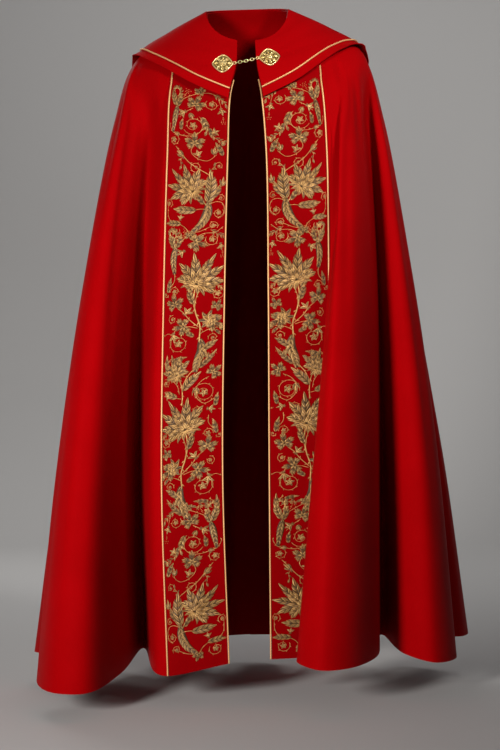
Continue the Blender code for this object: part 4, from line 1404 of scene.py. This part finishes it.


# gold cord: peach-gold silk with painted shade between its two strands
def makeCordMaterial():
    made, tree, shader = newMaterial("gold_cord", {"Roughness": 0.42, "Metallic": 0.25, "Sheen Weight": 0.15})
    fibre = noise(tree, mapped(tree, cutPlace(tree), 28, (14.0, 900.0, 1.0)), 1.0, 2.0)
    # painted shade: the colour darkens where the cord's radius dips between its strands
    depth = mathNode(tree, "SUBTRACT", pointValue(tree, "strand"), 0.78)
    share = mathNode(tree, "MULTIPLY", depth, 4.5, clamp=True)
    tone = mixColour(tree, share, (0.30, 0.115, 0.030), (0.80, 0.40, 0.145))
    fine = mixColour(tree, mathNode(tree, "MULTIPLY", fibre, 0.5), tone, (0.95, 0.56, 0.24))
    tree.links.new(fine, shader.inputs["Base Color"])
    addBump(tree, shader, fibre, 0.4, 0.0002)
    return made


# gold thread: fine satin stitches laid across each shape, with a painted highlight on the swells and painted
# shade in the grooves
def makeThreadMaterial():
    made, tree, shader = newMaterial("gold_thread", {"Roughness": 0.40, "Metallic": 0.30})
    stitches = wave(tree, mapped(tree, cutPlace(tree), 24), 700.0, 0.8, 1.0, "Y")
    patches = noise(tree, objectPlace(tree), 110.0, 2.0)
    shade = mathNode(tree, "MULTIPLY_ADD", patches, 0.7, mathNode(tree, "MULTIPLY", stitches, 0.30))
    lit = mathNode(tree, "ADD", shade, 0.42)
    # the stored tone brings in the painted light and shade
    level = mathNode(tree, "MULTIPLY", pointValue(tree, "tone"), lit, clamp=True)
    gold = ramp(tree, level, (0.0, (0.012, 0.004, 0.001)), (0.36, (0.085, 0.034, 0.005)),
                (0.70, (0.42, 0.20, 0.046)), (1.0, (0.90, 0.55, 0.20)))
    tree.links.new(gold, shader.inputs["Base Color"])
    addBump(tree, shader, stitches, 0.5, 0.0002)
    return made


# gilt metal: a painted highlight on the swells, painted shade where the casting is deep, with fine scratches
def makeClaspMaterial():
    made, tree, shader = newMaterial("clasp_gold", {"Metallic": 0.72})
    place = objectPlace(tree)
    grain = noise(tree, place, 900.0, 3.0)
    lit = mathNode(tree, "ADD", noise(tree, place, 160.0, 2.0), 0.55)
    level = mathNode(tree, "MULTIPLY", pointValue(tree, "tone"), lit, clamp=True)
    gilt = ramp(tree, level, (0.02, (0.035, 0.020, 0.003)), (0.34, (0.74, 0.48, 0.13)),
                (0.85, (1.0, 0.80, 0.38)))
    tree.links.new(gilt, shader.inputs["Base Color"])
    tree.links.new(mathNode(tree, "MULTIPLY_ADD", grain, 0.22, 0.17), shader.inputs["Roughness"])
    addBump(tree, shader, grain, 0.12, 0.0001)
    return made


materials = {name: makeClothMaterial(name, look) for name, look in clothLooks.items()}
materials["gold_cord"] = makeCordMaterial()
materials["gold_thread"] = makeThreadMaterial()
materials["clasp_gold"] = makeClaspMaterial()


# dresses a piece: its material, the CAD nodes it stands for, and the body it rides on; its finish slot is not
# used
def dress(piece, material, slot, *nodes):
    piece.data.materials.append(materials[material])
    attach(piece, "root")
    if nodes:
        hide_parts(*nodes)
    return piece


for side in (-1, 1):
    name = sideNames[side]
    cloth, outer, normals = makeCloak(side)
    dress(cloth, "red_wool", "red_cloth", "body_" + name)
    panel, panelFace, panelOut = makeBand(side, outer, normals)
    dress(panel, "band_satin", "band_cloth", "orphrey_" + name)
    goldThread = dress(makeGoldWork(side, panelFace, panelOut), "gold_thread", "gold_thread")
    print("gold work on the", name, "band:", len(goldThread.data.polygons), "faces")
    frontCord, sideCord = makePipings(side, outer, normals)
    dress(frontCord, "gold_cord", "gold_piping", "front_piping_" + name)
    dress(sideCord, "gold_cord", "gold_piping", "side_piping_" + name)
print("cloak halves, bands and their cords are made")
hoodPiece, hoodCord = makeHood()
dress(hoodPiece, "hood_wool", "red_cloth", "hood")
dress(hoodCord, "gold_cord", "gold_piping", "hood_piping")
print("hood is made")
plates = {}
for side in (-1, 1):
    plate, plates[side] = makePlate(side)
    dress(plate, "clasp_gold", "clasp_metal", "clasp_plate_" + sideNames[side])
for number, link in enumerate(makeLinks(plates[-1], plates[1])):
    dress(link, "clasp_gold", "clasp_metal", "chain_link_%d" % (number + 1))
print("clasp and chain are made")

bpy.context.scene.view_settings.view_transform = "Standard"
